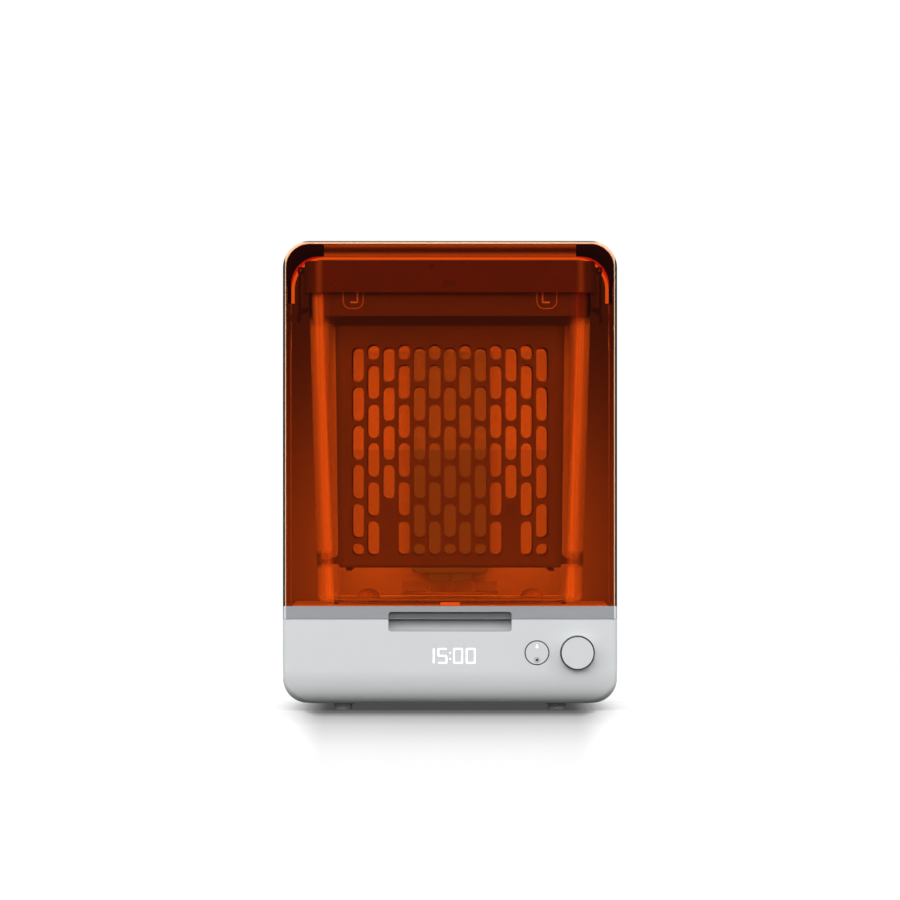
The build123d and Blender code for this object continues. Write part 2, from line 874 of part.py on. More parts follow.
def build_hinge_bushes():
    """The two plastic bushes pressed into the hood's sides."""
    bushes = []
    for side in (-1, 1):
        middle = side * (half_width - hood_wall / 2)
        bush = rod((middle, pivot_y, pivot_z), hinge_bush_radius, hood_wall, "X")
        bore = rod((middle - side * hinge_cap_thickness, pivot_y, pivot_z), hinge_pin_radius + running_fit,
                   hood_wall, "X")
        bushes.append(bush - bore)
    return gather(bushes)


def build_hinge_pins():
    """The two steel pins that the hood turns on."""
    outer_end = half_width - hinge_cap_thickness - seat_gap
    middle = outer_end - hinge_pin_length / 2
    return mirrored_pair(rod((middle, pivot_y, pivot_z), hinge_pin_radius, hinge_pin_length, "X"))


def build_hinge_blocks():
    """The two blocks inside the column that hold the pins and brake the hood."""
    outer = hood_inner - column_lower_inset - column_wall
    block = box_between((outer - hinge_block_width, pivot_y - hinge_block_reach, pivot_z - hinge_block_reach),
                        (outer, pivot_y + hinge_block_reach, pivot_z + hinge_block_top))
    return mirrored_pair(block - rod((outer, pivot_y, pivot_z), hinge_pin_radius, 4 * hinge_block_width, "X"))


# ================================================================ rear column
def column_blank(inset, y_low, y_high, z_low):
    """The column's outer shape, narrower above the hinge, moved inwards by an inset."""
    lower_half = hood_inner - column_lower_inset - inset
    upper_half = hood_inner - column_upper_inset - inset
    tall = arched_block(upper_half, z_low, column_top - inset, column_top_radius - inset, y_low, y_high)
    return tall + box_between((-lower_half, y_low, z_low), (lower_half, y_high, column_step_z - inset))


def column_screw_places():
    """The centres of the back cover's screws."""
    return [(x, z) for x in (-column_screw_x, column_screw_x) for z in column_screw_z]


def build_column_front():
    """The column's front shell, seen behind the bucket, with its screw posts."""
    shell = column_blank(0, column_front_y, column_split_y, base_top)
    shell -= column_blank(column_wall, column_front_y + column_wall,
                          column_split_y + cut_over, base_top - cut_over)
    window_half = heat_sink_width / 2 + heat_window_gap
    shell -= box_between((-window_half, column_front_y - cut_over, heat_sink_bottom - heat_window_gap),
                         (window_half, column_front_y + column_wall + cut_over, heat_sink_top + heat_window_gap))
    shell -= rod((0, pivot_y, pivot_z), hinge_pin_radius + pin_clearance, width, "X")
    post_high = rear_y - column_wall
    for x, z in column_screw_places():
        shell += rod_y(x, z, column_post_radius, column_front_y + column_wall / 2, post_high)
        shell -= rod_y(x, z, screw_shank_radius, post_high - column_screw_length, post_high + cut_over)
    return shell


def grille_ring(ring):
    """One ring-shaped slot of the fan's grille, with its spokes left standing."""
    outer = grille_pitch * (ring + 1) + grille_slot
    cut = rod((0, rear_y, fan_z), outer, 4 * column_wall, "Y")
    cut -= rod((0, rear_y, fan_z), outer - grille_slot, 6 * column_wall, "Y")
    for spoke in range(grille_spokes):
        place = Pos(0, rear_y, fan_z) * Rot(0, 180 * spoke / grille_spokes, 0)
        cut -= place * Box(grille_spoke, 6 * column_wall, 2 * fan_size)
    return cut


def build_column_back():
    """The column's back cover, with flanks flush with the hood's sides and the fan's grille."""
    cover = column_blank(0, column_split_y, rear_y, base_top)
    rear_edges = [e for e in cover.faces().sort_by(Axis.Y)[-1].edges() if e.center().Z > column_step_z]
    cover = fillet(rear_edges, column_edge_radius)
    flank_top = pivot_z - hood_pivot_inset - flank_gap
    flank = box_between((-half_width, column_split_y, base_top), (half_width, rear_y, flank_top))
    rear_edges = [e for e in flank.edges().filter_by(Axis.Z) if e.center().Y > column_split_y + 1]
    flank = fillet(rear_edges, corner_radius)
    cover += flank
    cover -= column_blank(column_wall, column_split_y - cut_over, rear_y - column_wall, base_top - cut_over)
    cover -= rod((0, pivot_y, pivot_z), hinge_pin_radius + pin_clearance, width, "X")
    for x, z in column_screw_places():
        cover -= rod((x, rear_y, z), screw_radius, 2 * screw_head, "Y")
        cover -= rod((x, rear_y, z), screw_shank_radius, 4 * column_wall, "Y")
    for ring in range(grille_rings):
        cover -= grille_ring(ring)
    return cover


def build_column_screws():
    """The screws that hold the back cover on."""
    return gather([cross_screw(Pos(x, rear_y, z) * Rot(90, 0, 0), column_screw_length)
                   for x, z in column_screw_places()])


# ================================================================ light bar
def bar_blank(inset, y_high):
    """The diffuser's outer shape, moved inwards by an inset."""
    return front_plate(0, (bar_bottom + bar_top) / 2, bar_width - 2 * inset, bar_top - bar_bottom - 2 * inset,
                       bar_front_y + inset, y_high, bar_corner_radius - inset)


def build_diffuser():
    """The milky cover of the curing lamp with its stepped foot."""
    cover = bar_blank(0, column_front_y)
    cover = fillet(cover.faces().sort_by(Axis.Y)[0].edges(), bar_edge_radius)
    cover -= bar_blank(bar_wall, column_front_y + cut_over)
    y_low = bar_front_y + bar_step_back
    step_low = bar_bottom - bar_step_drop
    half = bar_step_width / 2
    step = box_between((-half, y_low, step_low), (half, column_front_y, bar_bottom + cut_over))
    step -= box_between((-bar_notch / 2, y_low - cut_over, 0),
                        (bar_notch / 2, y_low + bar_notch_depth, bar_bottom))
    for side in (-1, 1):
        step += box_between((side * half, y_low, step_low - bar_toe_drop),
                            (side * (half - bar_toe_width), column_front_y, step_low + cut_over))
    return cover + step


def build_led_board():
    """The lamp's circuit board, flat on the heat sink."""
    y_high = column_front_y - heat_sink_proud
    return box_between((-led_board_width / 2, y_high - led_board_thickness, heat_sink_bottom),
                       (led_board_width / 2, y_high, heat_sink_top))


def build_leds():
    """The LEDs in two columns on the lamp's board."""
    y_high = column_front_y - heat_sink_proud - led_board_thickness
    pitch = (heat_sink_top - heat_sink_bottom) / led_rows
    half = led_size / 2
    leds = []
    for row in range(led_rows):
        z = heat_sink_bottom + (row + 0.5) * pitch
        for x in (-led_column_x, led_column_x):
            leds.append(box_between((x - half, y_high - led_height, z - half), (x + half, y_high, z + half)))
    return gather(leds)


def build_heat_sink():
    """The finned heat sink behind the lamp's board."""
    base_low = column_front_y - heat_sink_proud
    base_high = base_low + heat_base
    half = heat_sink_width / 2
    sink = box_between((-half, base_low, heat_sink_bottom), (half, base_high, heat_sink_top))
    pitch = (heat_sink_width - heat_fin_thickness) / (heat_fin_count - 1)
    for fin in range(heat_fin_count):
        x = -half + fin * pitch
        sink += box_between((x, base_high - cut_over, heat_sink_bottom),
                            (x + heat_fin_thickness, base_high + heat_fin_depth, heat_sink_top))
    return sink


def build_fan_frame():
    """The fan's square frame with its bore, the arms across it and the axle."""
    frame = front_plate(0, fan_z, fan_size, fan_size, fan_front_y, fan_front_y + fan_depth,
                        fan_corner_radius)
    frame -= rod_y(0, fan_z, fan_bore_radius, fan_front_y - cut_over, fan_front_y + fan_depth + cut_over)
    frame += rod_y(0, fan_z, fan_hub_radius, fan_front_y, fan_front_y + fan_arm)
    for arm in range(fan_arms):
        place = Pos(0, fan_front_y + fan_arm / 2, fan_z) * Rot(0, 360 * (arm + 0.5) / fan_arms, 0) * Pos(
            fan_bore_radius / 2 + cut_over, 0, 0)
        frame += place * Box(fan_bore_radius, fan_arm, fan_arm_width)
    return frame + rod_y(0, fan_z, fan_axle_radius, fan_front_y + fan_arm / 2, fan_front_y + fan_axle_reach)


def build_fan_rotor():
    """The fan's hub and its pitched blades."""
    y_low = fan_front_y + fan_arm + 2 * seat_gap
    y_high = fan_front_y + fan_depth - 2 * seat_gap - fan_back_gap
    middle = (y_low + y_high) / 2
    tip = fan_bore_radius - fan_tip_gap
    rotor = rod_y(0, fan_z, fan_hub_radius, y_low, y_high)
    sweep_space = rod_y(0, fan_z, tip, y_low, y_high)
    root = fan_hub_radius - fan_blade_root
    for blade in range(fan_blades):
        place = Pos(0, middle, fan_z) * Rot(0, 360 * blade / fan_blades, 0)
        place *= Pos((root + tip) / 2 + cut_over, 0, 0)
        plate = place * Rot(fan_blade_pitch, 0, 0)
        plate *= Box(tip - root + 2 * cut_over, fan_blade_thickness, fan_blade_chord)
        rotor += plate & sweep_space
    bore_end = fan_front_y + fan_axle_reach + cut_over
    return rotor - rod_y(0, fan_z, fan_axle_radius + running_fit, y_low - cut_over, bore_end)


# ================================================================ wash bucket
def bucket_half(z, top_size):
    """The bucket's outer half size at a height, for its width or its depth."""
    return top_size / 2 - bucket_taper * (bucket_top_z - z) / (bucket_top_z - bucket_bottom_z)


def bucket_block(inset, z_low, z_high):
    """The bucket's tapered outer shape between two heights, moved inwards by an inset."""
    sizes = [(2 * (bucket_half(z, bucket_top_width) - inset), 2 * (bucket_half(z, bucket_top_depth) - inset))
             for z in (z_low, z_high)]
    radius = bucket_radius - inset
    return tapered_block(sizes[0], sizes[1], z_low, z_high, radius - bucket_radius_fall, radius, bucket_y)


def build_bucket():
    """The clear wash bucket with its rim, foot ring, latch nubs and the impeller's spigot."""
    bucket = bucket_block(0, bucket_bottom_z, bucket_top_z)
    bucket = fillet(bucket.faces().sort_by(Axis.Z)[0].edges(), bucket_floor_radius)
    inner = bucket_block(bucket_wall, bucket_bottom_z + bucket_wall, bucket_top_z + cut_over)
    bucket -= fillet(inner.faces().sort_by(Axis.Z)[0].edges(), bucket_floor_radius - bucket_wall)
    rim = level_plate(0, bucket_y, bucket_top_width + 2 * bucket_rim_lip, bucket_top_depth + 2 * bucket_rim_lip,
                      bucket_rim_low, bucket_top_z, bucket_radius + bucket_rim_lip)
    rim -= level_plate(0, bucket_y, bucket_top_width - bucket_wall, bucket_top_depth - bucket_wall,
                       bucket_rim_low - cut_over, bucket_top_z + cut_over, bucket_radius - bucket_wall / 2)
    bucket += rim
    foot_x = 2 * (bucket_half(bucket_bottom_z, bucket_top_width) - bucket_foot_inset)
    foot_y = 2 * (bucket_half(bucket_bottom_z, bucket_top_depth) - bucket_foot_inset)
    foot = level_plate(0, bucket_y, foot_x, foot_y, deck_top, bucket_bottom_z + cut_over, bucket_foot_radius)
    foot -= level_plate(0, bucket_y, foot_x - 2 * bucket_foot_width, foot_y - 2 * bucket_foot_width,
                        deck_top - cut_over, bucket_bottom_z + 2 * cut_over, bucket_foot_inner_radius)
    bucket += foot
    for side in (-1, 1):
        wall_x = side * (bucket_half(nub_top_z, bucket_top_width) - bucket_wall / 2)
        tip_x = side * (bucket_top_width / 2 + nub_reach)
        bucket += box_between((wall_x, bucket_y - nub_width / 2, nub_top_z - nub_height),
                              (tip_x, bucket_y + nub_width / 2, nub_top_z))
    spigot_low = bucket_bottom_z + bucket_wall / 2
    return bucket + rod_z(0, bucket_y, spigot_radius, spigot_low, impeller_z + impeller_plate + spigot_height)


def build_impeller():
    """The impeller that turns on the spigot in the bucket's floor."""
    hub_radius = spigot_radius + impeller_hub_wall
    blade_high = impeller_z + impeller_plate + impeller_blade_height
    wheel = rod_z(0, bucket_y, impeller_radius, impeller_z, impeller_z + impeller_plate)
    wheel += rod_z(0, bucket_y, hub_radius, impeller_z, blade_high)
    reach = impeller_radius - hub_radius
    for blade in range(impeller_blades):
        place = Pos(0, bucket_y, (impeller_z + blade_high) / 2) * Rot(0, 0, 360 * blade / impeller_blades)
        wheel += place * Pos(hub_radius + reach / 2 - cut_over / 2, 0, 0) * Box(
            reach, impeller_blade_thickness, blade_high - impeller_z)
    bore_high = impeller_z + impeller_plate + spigot_height + seat_gap
    return wheel - rod_z(0, bucket_y, spigot_radius + running_fit, impeller_z - cut_over, bore_high)


# ================================================================ bucket lid and latches
def lid_block(inset, z_low, z_high):
    """The lid's outer shape between two heights, moved inwards by an inset."""
    drafts = [lid_taper * (z - lid_bottom_z) / lid_height for z in (z_low, z_high)]
    sizes = [(lid_width - 2 * (draft + inset), lid_depth - 2 * (draft + inset)) for draft in drafts]
    radius = lid_radius - inset
    return tapered_block(sizes[0], sizes[1], z_low, z_high, radius, radius, bucket_y)


def build_lid():
    """The bucket's dark lid with its skirt, the ledge on its gasket and the ears for the latches."""
    lid = lid_block(0, lid_bottom_z, lid_top_z)
    lid = fillet(lid.faces().sort_by(Axis.Z)[-1].edges(), lid_edge_radius)
    lid -= lid_block(lid_wall, lid_bottom_z - cut_over, lid_top_z - lid_wall)
    ledge_low = bucket_top_z + basket_flange + gasket_height
    ledge = lid_block(lid_wall / 2, ledge_low, ledge_low + lid_ledge)
    ledge_inset = gasket_width + lid_ledge_reach
    ledge -= level_plate(0, bucket_y, bucket_top_width - 2 * ledge_inset, bucket_top_depth - 2 * ledge_inset,
                         ledge_low - cut_over, ledge_low + lid_ledge + cut_over, bucket_radius - gasket_width)
    lid += ledge
    ear_tip = latch_pivot_x + latch_pin_radius + latch_ear_wall
    for side in (-1, 1):
        for end in (-1, 1):
            ear_y = bucket_y + end * latch_ear_y
            lid += box_between(
                (side * (lid_width / 2 - lid_wall), ear_y - latch_ear_width / 2,
                 latch_pivot_z - latch_ear_half_height),
                (side * ear_tip, ear_y + latch_ear_width / 2, latch_pivot_z + latch_ear_half_height))
        lid -= rod((side * latch_pivot_x, bucket_y, latch_pivot_z), latch_pin_radius, latch_width, "Y")
    return lid


def build_gasket():
    """The rubber seal between the basket's flange and the lid."""
    z_low = bucket_top_z + basket_flange
    z_high = z_low + gasket_height
    ring = level_plate(0, bucket_y, bucket_top_width, bucket_top_depth, z_low, z_high, bucket_radius)
    open_width = bucket_top_width - 2 * gasket_width
    open_depth = bucket_top_depth - 2 * gasket_width
    return ring - level_plate(0, bucket_y, open_width, open_depth,
                              z_low - cut_over, z_high + cut_over, bucket_radius - gasket_width)


def build_latch():
    """The right-hand latch: a plate with a barrel, a hook and a flared finger tab."""
    plate_in = latch_pivot_x + latch_plate_offset
    plate_out = plate_in + latch_plate
    hook_top = nub_top_z - nub_height - latch_hook_play
    hook_in = bucket_top_width / 2 + latch_hook_gap
    outline = [
        (plate_in, latch_pivot_z), (plate_out, latch_pivot_z), (plate_out, latch_bottom_z + latch_bend_out),
        (plate_out + latch_flare, latch_bottom_z), (plate_in + latch_flare / 2, latch_bottom_z),
        (plate_in, latch_bottom_z + latch_bend_in), (plate_in, hook_top - latch_hook_root),
        (hook_in, hook_top - latch_hook_tip),
        (hook_in, hook_top), (plate_in, hook_top),
    ]
    latch = front_profile(outline, bucket_y - latch_width / 2, bucket_y + latch_width / 2)
    latch += rod((latch_pivot_x, bucket_y, latch_pivot_z), latch_barrel_radius, latch_width, "Y")
    slot_half = latch_ear_width / 2 + seat_gap
    slot_reach = latch_ear_half_height + 2 * latch_plate
    for end in (-1, 1):
        ear_y = bucket_y + end * latch_ear_y
        latch -= box_between((0, ear_y - slot_half, latch_pivot_z - slot_reach),
                             (width, ear_y + slot_half, latch_pivot_z + slot_reach))
    place = (latch_pivot_x, bucket_y, latch_pivot_z)
    return latch - rod(place, latch_pin_radius + running_fit, 2 * latch_width, "Y")


def build_latch_left():
    """The left-hand latch."""
    return mirror(build_latch(), about=Plane.YZ)


def build_latch_pins():
    """The two steel pins that the latches turn on."""
    place = (latch_pivot_x, bucket_y, latch_pivot_z)
    return mirrored_pair(rod(place, latch_pin_radius, latch_width - latch_pin_setback, "Y"))


# ================================================================ basket
def basket_block(inset, z_low, z_high):
    """The basket body's tapered shape between two heights, moved inwards by an inset."""
    fall = basket_body_top - basket_bottom
    drafts = [basket_taper * (basket_body_top - z) / fall for z in (z_low, z_high)]
    sizes = [(basket_body_width - 2 * (draft + inset), basket_body_depth - 2 * (draft + inset))
             for draft in drafts]
    radius = basket_radius - inset
    return tapered_block(sizes[0], sizes[1], z_low, z_high, radius, radius, bucket_y)


def basket_shoulder_block(inset):
    """The sloped shoulder between the basket's body and its band, moved inwards by an inset."""
    band_radius = bucket_radius - bucket_wall - basket_gap
    return tapered_block(
        (basket_body_width - 2 * inset, basket_body_depth - 2 * inset),
        (basket_band_width - 2 * inset, basket_band_depth - 2 * inset),
        basket_body_top, basket_band_bottom, basket_radius - inset, band_radius - inset, bucket_y)


def basket_band_block(inset, z_high):
    """The basket's upper band, moved inwards by an inset."""
    band_radius = bucket_radius - bucket_wall - basket_gap
    return level_plate(0, bucket_y, basket_band_width - 2 * inset, basket_band_depth - 2 * inset,
                       basket_band_bottom, z_high, band_radius - inset)


def slot_spans(column):
    """The lowest and highest Z of each slot in a column of a wall."""
    spans = []
    if column % 2 == 0:
        spans.append((slot_field_bottom, slot_field_bottom + short_slot))
        for row in range(slot_rows):
            low = slot_field_bottom + slot_pitch_z / 2 - half_row_shift + row * slot_pitch_z
            spans.append((low, low + slot_length))
    else:
        for row in range(slot_rows):
            low = slot_field_bottom + row * slot_pitch_z
            spans.append((low, low + slot_length))
        spans.append((slot_field_bottom + slot_rows * slot_pitch_z, slot_field_top))
    return spans


def slot_cutters(plane, columns, reach, lowest):
    """The slots of two opposite walls, as bars that pass through both."""
    cutters = []
    for column in range(-columns, columns + 1):
        floor = mark_z + mark_height / 2 if abs(column) == blocked_column and lowest == 0 else lowest
        for low, high in slot_spans(column):
            if low >= floor:
                radius = min(slot_width, high - low) / 2 - slot_corner_trim
                cell = Pos(column * slot_pitch_x, (low + high) / 2)
                cell *= RectangleRounded(slot_width, high - low, radius)
                cutters.append(extrude(plane * cell, amount=reach, both=True))
    return cutters


def floor_cutters():
    """The slots of the basket's floor."""
    columns = int((basket_body_width / 2 - slot_side_margin) / floor_slot_pitch)
    cutters = []
    for column in range(-columns, columns + 1):
        for row in (-1, 0, 1):
            cutters.append(level_plate(column * floor_slot_pitch, bucket_y + row * floor_row_pitch,
                                       floor_slot_width, floor_slot_length,
                                       basket_bottom - cut_over, basket_bottom + basket_wall + cut_over,
                                       floor_slot_width / 2 - slot_corner_trim))
    return cutters


def fin_piece():
    """The right-hand wedge frame that keeps the basket in the middle of the bucket."""
    low = basket_bottom + fin_lift
    root = basket_body_width / 2 - basket_taper - fin_sink
    tip = bucket_half(low, bucket_top_width) - bucket_wall - fin_gap
    outline = [(root, low), (tip, low), (tip, low + fin_tip_height), (root + fin_step, low + fin_root_height / 2),
               (root, low + fin_root_height)]
    fin = front_profile(outline, bucket_y - fin_depth / 2, bucket_y + fin_depth / 2)
    inner = fin_depth / 2 - fin_wall
    return fin - box_between((root + fin_wall, bucket_y - inner, 0), (tip + cut_over, bucket_y + inner, height))


def add_ears(basket):
    """The four ears: a shallow U-shaped seat outside, a window through it and a bored lug inside."""
    window_low = ear_bottom_z + ear_wall
    window_high = bucket_top_z - ear_wall / 2
    for side in (-1, 1):
        for end in (-1, 1):
            face_y = bucket_y + end * basket_band_depth / 2
            seat = front_plate(side * ear_x, ear_bottom_z + ear_height, ear_width, 2 * ear_height,
                               face_y - ear_seat_depth, face_y + ear_seat_depth, ear_width / 2 - cut_over)
            basket -= seat & below(bucket_top_z)
            basket -= front_plate(side * ear_x, (window_low + window_high) / 2, ear_hole_width,
                                  window_high - window_low, face_y - 2 * basket_wall,
                                  face_y + 2 * basket_wall, ear_hole_radius)
            lug_y = bucket_y + end * (basket_band_depth / 2 - basket_wall / 2)
            far_y = bucket_y + end * (basket_band_depth / 2 - basket_wall - lug_depth)
            basket += box_between((side * (ear_x - ear_hole_width / 2 + ear_sliver), lug_y, window_low + ear_sliver),
                                  (side * (ear_x + ear_width / 2), far_y, bucket_top_z))
    bore_half = ear_x + ear_width / 2 - ear_bore_margin
    for end in (-1, 1):
        basket -= rod((0, bail_pivot_y(end), bail_z), bail_radius + bail_play, 2 * bore_half, "X")
    return basket


def bail_pivot_y(end):
    """The line on which a wire handle's ends lie."""
    return bucket_y + end * (basket_band_depth / 2 - basket_wall - lug_depth / 2)


def build_basket():
    """The perforated basket with its band, shoulder, flange, fins, feet, ears and blind marks."""
    basket = basket_block(0, basket_bottom, basket_body_top)
    basket = fillet(basket.faces().sort_by(Axis.Z)[0].edges(), basket_floor_radius)
    basket += basket_shoulder_block(0)
    basket += basket_band_block(0, bucket_top_z)
    flange_size = [2 * (half - basket_flange_inset) for half in (bucket_top_width / 2, bucket_top_depth / 2)]
    basket += level_plate(0, bucket_y, *flange_size, bucket_top_z, bucket_top_z + basket_flange, bucket_radius)
    basket -= basket_block(basket_wall, basket_bottom + basket_wall, basket_body_top)
    basket -= basket_shoulder_block(basket_wall)
    basket -= basket_band_block(basket_wall, bucket_top_z + basket_flange + cut_over)
    fin = fin_piece()
    basket += fin
    basket += mirror(fin, about=Plane.YZ)
    foot_x = basket_body_width / 2 - basket_foot_inset
    foot_y = basket_body_depth / 2 - basket_foot_inset
    for x, y in corners_of(foot_x, foot_y, bucket_y):
        basket += rod_z(x, y, basket_foot_radius, basket_bottom - basket_foot_height, basket_bottom + cut_over)
    basket = add_ears(basket)
    across = Plane((0, bucket_y, 0), x_dir=(1, 0, 0), z_dir=(0, -1, 0))
    along = Plane((0, bucket_y, 0), x_dir=(0, 1, 0), z_dir=(1, 0, 0))
    fin_top = basket_bottom + fin_lift + fin_root_height
    basket = basket - slot_cutters(across, front_columns, basket_body_depth / 2 + slot_overrun, 0)
    basket = basket - slot_cutters(along, side_columns, basket_body_width / 2 + slot_overrun, fin_top)
    basket = basket - floor_cutters()
    mark_y = bucket_y - basket_body_depth / 2 + basket_taper * (basket_body_top - mark_z) / (
        basket_body_top - basket_bottom)
    half_x = mark_width / 2
    for side in (-1, 1):
        mark_x = side * blocked_column * slot_pitch_x
        basket -= box_between((mark_x - half_x, mark_y - cut_over, mark_z - mark_height / 2),
                              (mark_x + half_x, mark_y + mark_depth, mark_z + mark_height / 2))
    return basket


def build_bails():
    """The two wire handles, folded flat inwards over the basket, with their ends in the ears' lugs."""
    bails = []
    end_x = ear_x + ear_width / 2 - bail_end_inset
    arm_x = ear_x - ear_width / 2 - bail_arm_inset
    for end in (-1, 1):
        start_y = bail_pivot_y(end)
        reach_y = start_y - end * bail_reach
        points = [(-end_x, start_y), (-arm_x, start_y), (-arm_x, reach_y),
                  (arm_x, reach_y), (arm_x, start_y), (end_x, start_y)]
        route = FilletPolyline(*[(x, y, bail_z) for x, y in points],
                               radius=(bail_elbow, bail_corner, bail_corner, bail_elbow))
        start = Plane(origin=route @ 0, z_dir=route % 0)
        bails.append(sweep(start * Circle(bail_radius), path=route))
    return gather(bails)


# ================================================================ wash drive
def build_motor():
    """The drive motor's can."""
    can = rod_z(0, bucket_y, motor_radius, motor_top_z - motor_height, motor_top_z)
    can = fillet(can.edges().group_by(Axis.Z)[0], motor_edge_radius)
    return can - rod_z(0, bucket_y, motor_shaft_radius + running_fit,
                       motor_top_z - motor_shaft_depth, motor_top_z + cut_over)


def build_motor_bracket():
    """The plate and posts that hang the motor under the base's top wall."""
    plate_high = motor_top_z + bracket_thickness
    plate = level_plate(0, bucket_y, bracket_width, bracket_depth, motor_top_z, plate_high,
                        bracket_corner_radius)
    plate -= rod_z(0, bucket_y, motor_shaft_radius + motor_shaft_gap,
                   motor_top_z - cut_over, plate_high + cut_over)
    reach_x = bracket_width / 2 - bracket_post_inset
    reach_y = bracket_depth / 2 - bracket_post_inset
    for x, y in corners_of(reach_x, reach_y, bucket_y):
        plate += rod_z(x, y, bracket_post_radius, plate_high - cut_over / 2, base_top - base_wall)
    return plate


def magnet_places():
    """The centres of the carrier's magnets."""
    ring = carrier_radius - magnet_radius - magnet_inset
    turns = [radians(360 * index / magnet_count) for index in range(magnet_count)]
    return [(ring * cos(turn), bucket_y + ring * sin(turn)) for turn in turns]


def build_magnet_carrier():
    """The motor's shaft with the disc that carries the magnets."""
    shaft_low = motor_top_z - motor_shaft_depth + motor_shaft_gap
    carrier = rod_z(0, bucket_y, motor_shaft_radius, shaft_low, carrier_low_z + cut_over)
    carrier += rod_z(0, bucket_y, carrier_radius, carrier_low_z, carrier_low_z + carrier_height)
    for x, y in magnet_places():
        carrier -= rod_z(x, y, magnet_radius, magnet_low_z, magnet_low_z + carrier_height)
    return carrier


def build_magnets():
    """The magnets set into the carrier."""
    return gather([rod_z(x, y, magnet_radius, magnet_low_z, carrier_low_z + carrier_height)
                   for x, y in magnet_places()])


# ================================================================ electronics
def build_control_board():
    """The control board on its posts above the bottom cover."""
    near_x = control_board_near_x
    far_x = half_width - electronics_inset
    far_y = rear_y - electronics_rear - control_board_rear
    near_y = far_y - control_board_depth
    z_low = floor_top + board_rise
    z_high = z_low + control_board_thickness
    board = box_between((near_x, near_y, z_low), (far_x, far_y, z_high))
    for share_x, share_y, size_x, size_y, tall in board_parts:
        x = near_x + share_x * (far_x - near_x)
        y = near_y + share_y * (far_y - near_y)
        board += box_between((x - size_x / 2, y - size_y / 2, z_low + cut_over),
                             (x + size_x / 2, y + size_y / 2, z_high + tall))
    for x, y in corners_of((far_x - near_x) / 2 - board_post_inset, control_board_depth / 2 - board_post_inset,
                           (near_y + far_y) / 2):
        board += rod_z(x + (near_x + far_x) / 2, y, board_post_radius, floor_top, z_low + cut_over)
    return board


def build_power_supply():
    """The mains power supply in its own case."""
    far_x = half_width - electronics_inset
    far_y = rear_y - electronics_rear
    centre_x = -(supply_near_x + far_x) / 2
    return level_plate(centre_x, far_y - supply_depth / 2, far_x - supply_near_x, supply_depth,
                       floor_top, floor_top + supply_height, supply_corner_radius)


def build_inlet():
    """The mains inlet with its recessed socket and three pins."""
    body = front_plate(inlet_x, inlet_z, inlet_width - 2 * panel_fit, inlet_height - 2 * panel_fit,
                       rear_y - inlet_depth, rear_y, inlet_corner_radius)
    socket_low = rear_y - inlet_socket_depth
    body -= front_plate(inlet_x, inlet_z, inlet_width - 2 * inlet_side_wall, inlet_height - 2 * inlet_end_wall,
                        socket_low, rear_y + cut_over, inlet_socket_radius)
    for dx, dz in inlet_pins:
        pin_x = inlet_x + dx
        pin_z = inlet_z + dz
        body += box_between((pin_x - inlet_pin_half_x, socket_low - cut_over, pin_z - inlet_pin_half_z),
                            (pin_x + inlet_pin_half_x, rear_y - inlet_pin_depth, pin_z + inlet_pin_half_z))
    return body


def build_switch_frame():
    """The frame that the mains switch's rocker sits in, with its pivot pin."""
    frame = front_plate(rocker_x, inlet_z, rocker_width - 2 * panel_fit, rocker_height - 2 * panel_fit,
                        rear_y - rocker_depth, rear_y, rocker_corner_radius - panel_fit)
    half_x = rocker_width / 2 - rocker_frame_wall
    half_z = rocker_height / 2 - rocker_frame_wall
    frame -= box_between((rocker_x - half_x, rear_y - rocker_depth + rocker_floor, inlet_z - half_z),
                         (rocker_x + half_x, rear_y + cut_over, inlet_z + half_z))
    return frame + rod((rocker_x, rocker_pin_y, inlet_z), rocker_pin_radius, 2 * half_x + cut_over, "X")


def build_rocker():
    """The rocker of the mains switch, tilted to its on position."""
    half_x = rocker_width / 2 - rocker_frame_wall - seat_gap
    half_z = rocker_height / 2 - rocker_end_gap
    low_y = rear_y - rocker_edge_depth
    face_y = rear_y - rocker_sink
    outline = [(low_y, inlet_z - half_z), (face_y, inlet_z - half_z), (face_y - rocker_valley, inlet_z),
               (face_y, inlet_z + half_z), (low_y, inlet_z + half_z), (rocker_pin_y - rocker_belly, inlet_z)]
    body = side_profile(outline, rocker_x - half_x, rocker_x + half_x)
    body -= rod((rocker_x, rocker_pin_y, inlet_z), rocker_pin_radius + running_fit, rocker_width, "X")
    return body.rotate(Axis((0, rocker_pin_y, inlet_z), (1, 0, 0)), rocker_tilt)


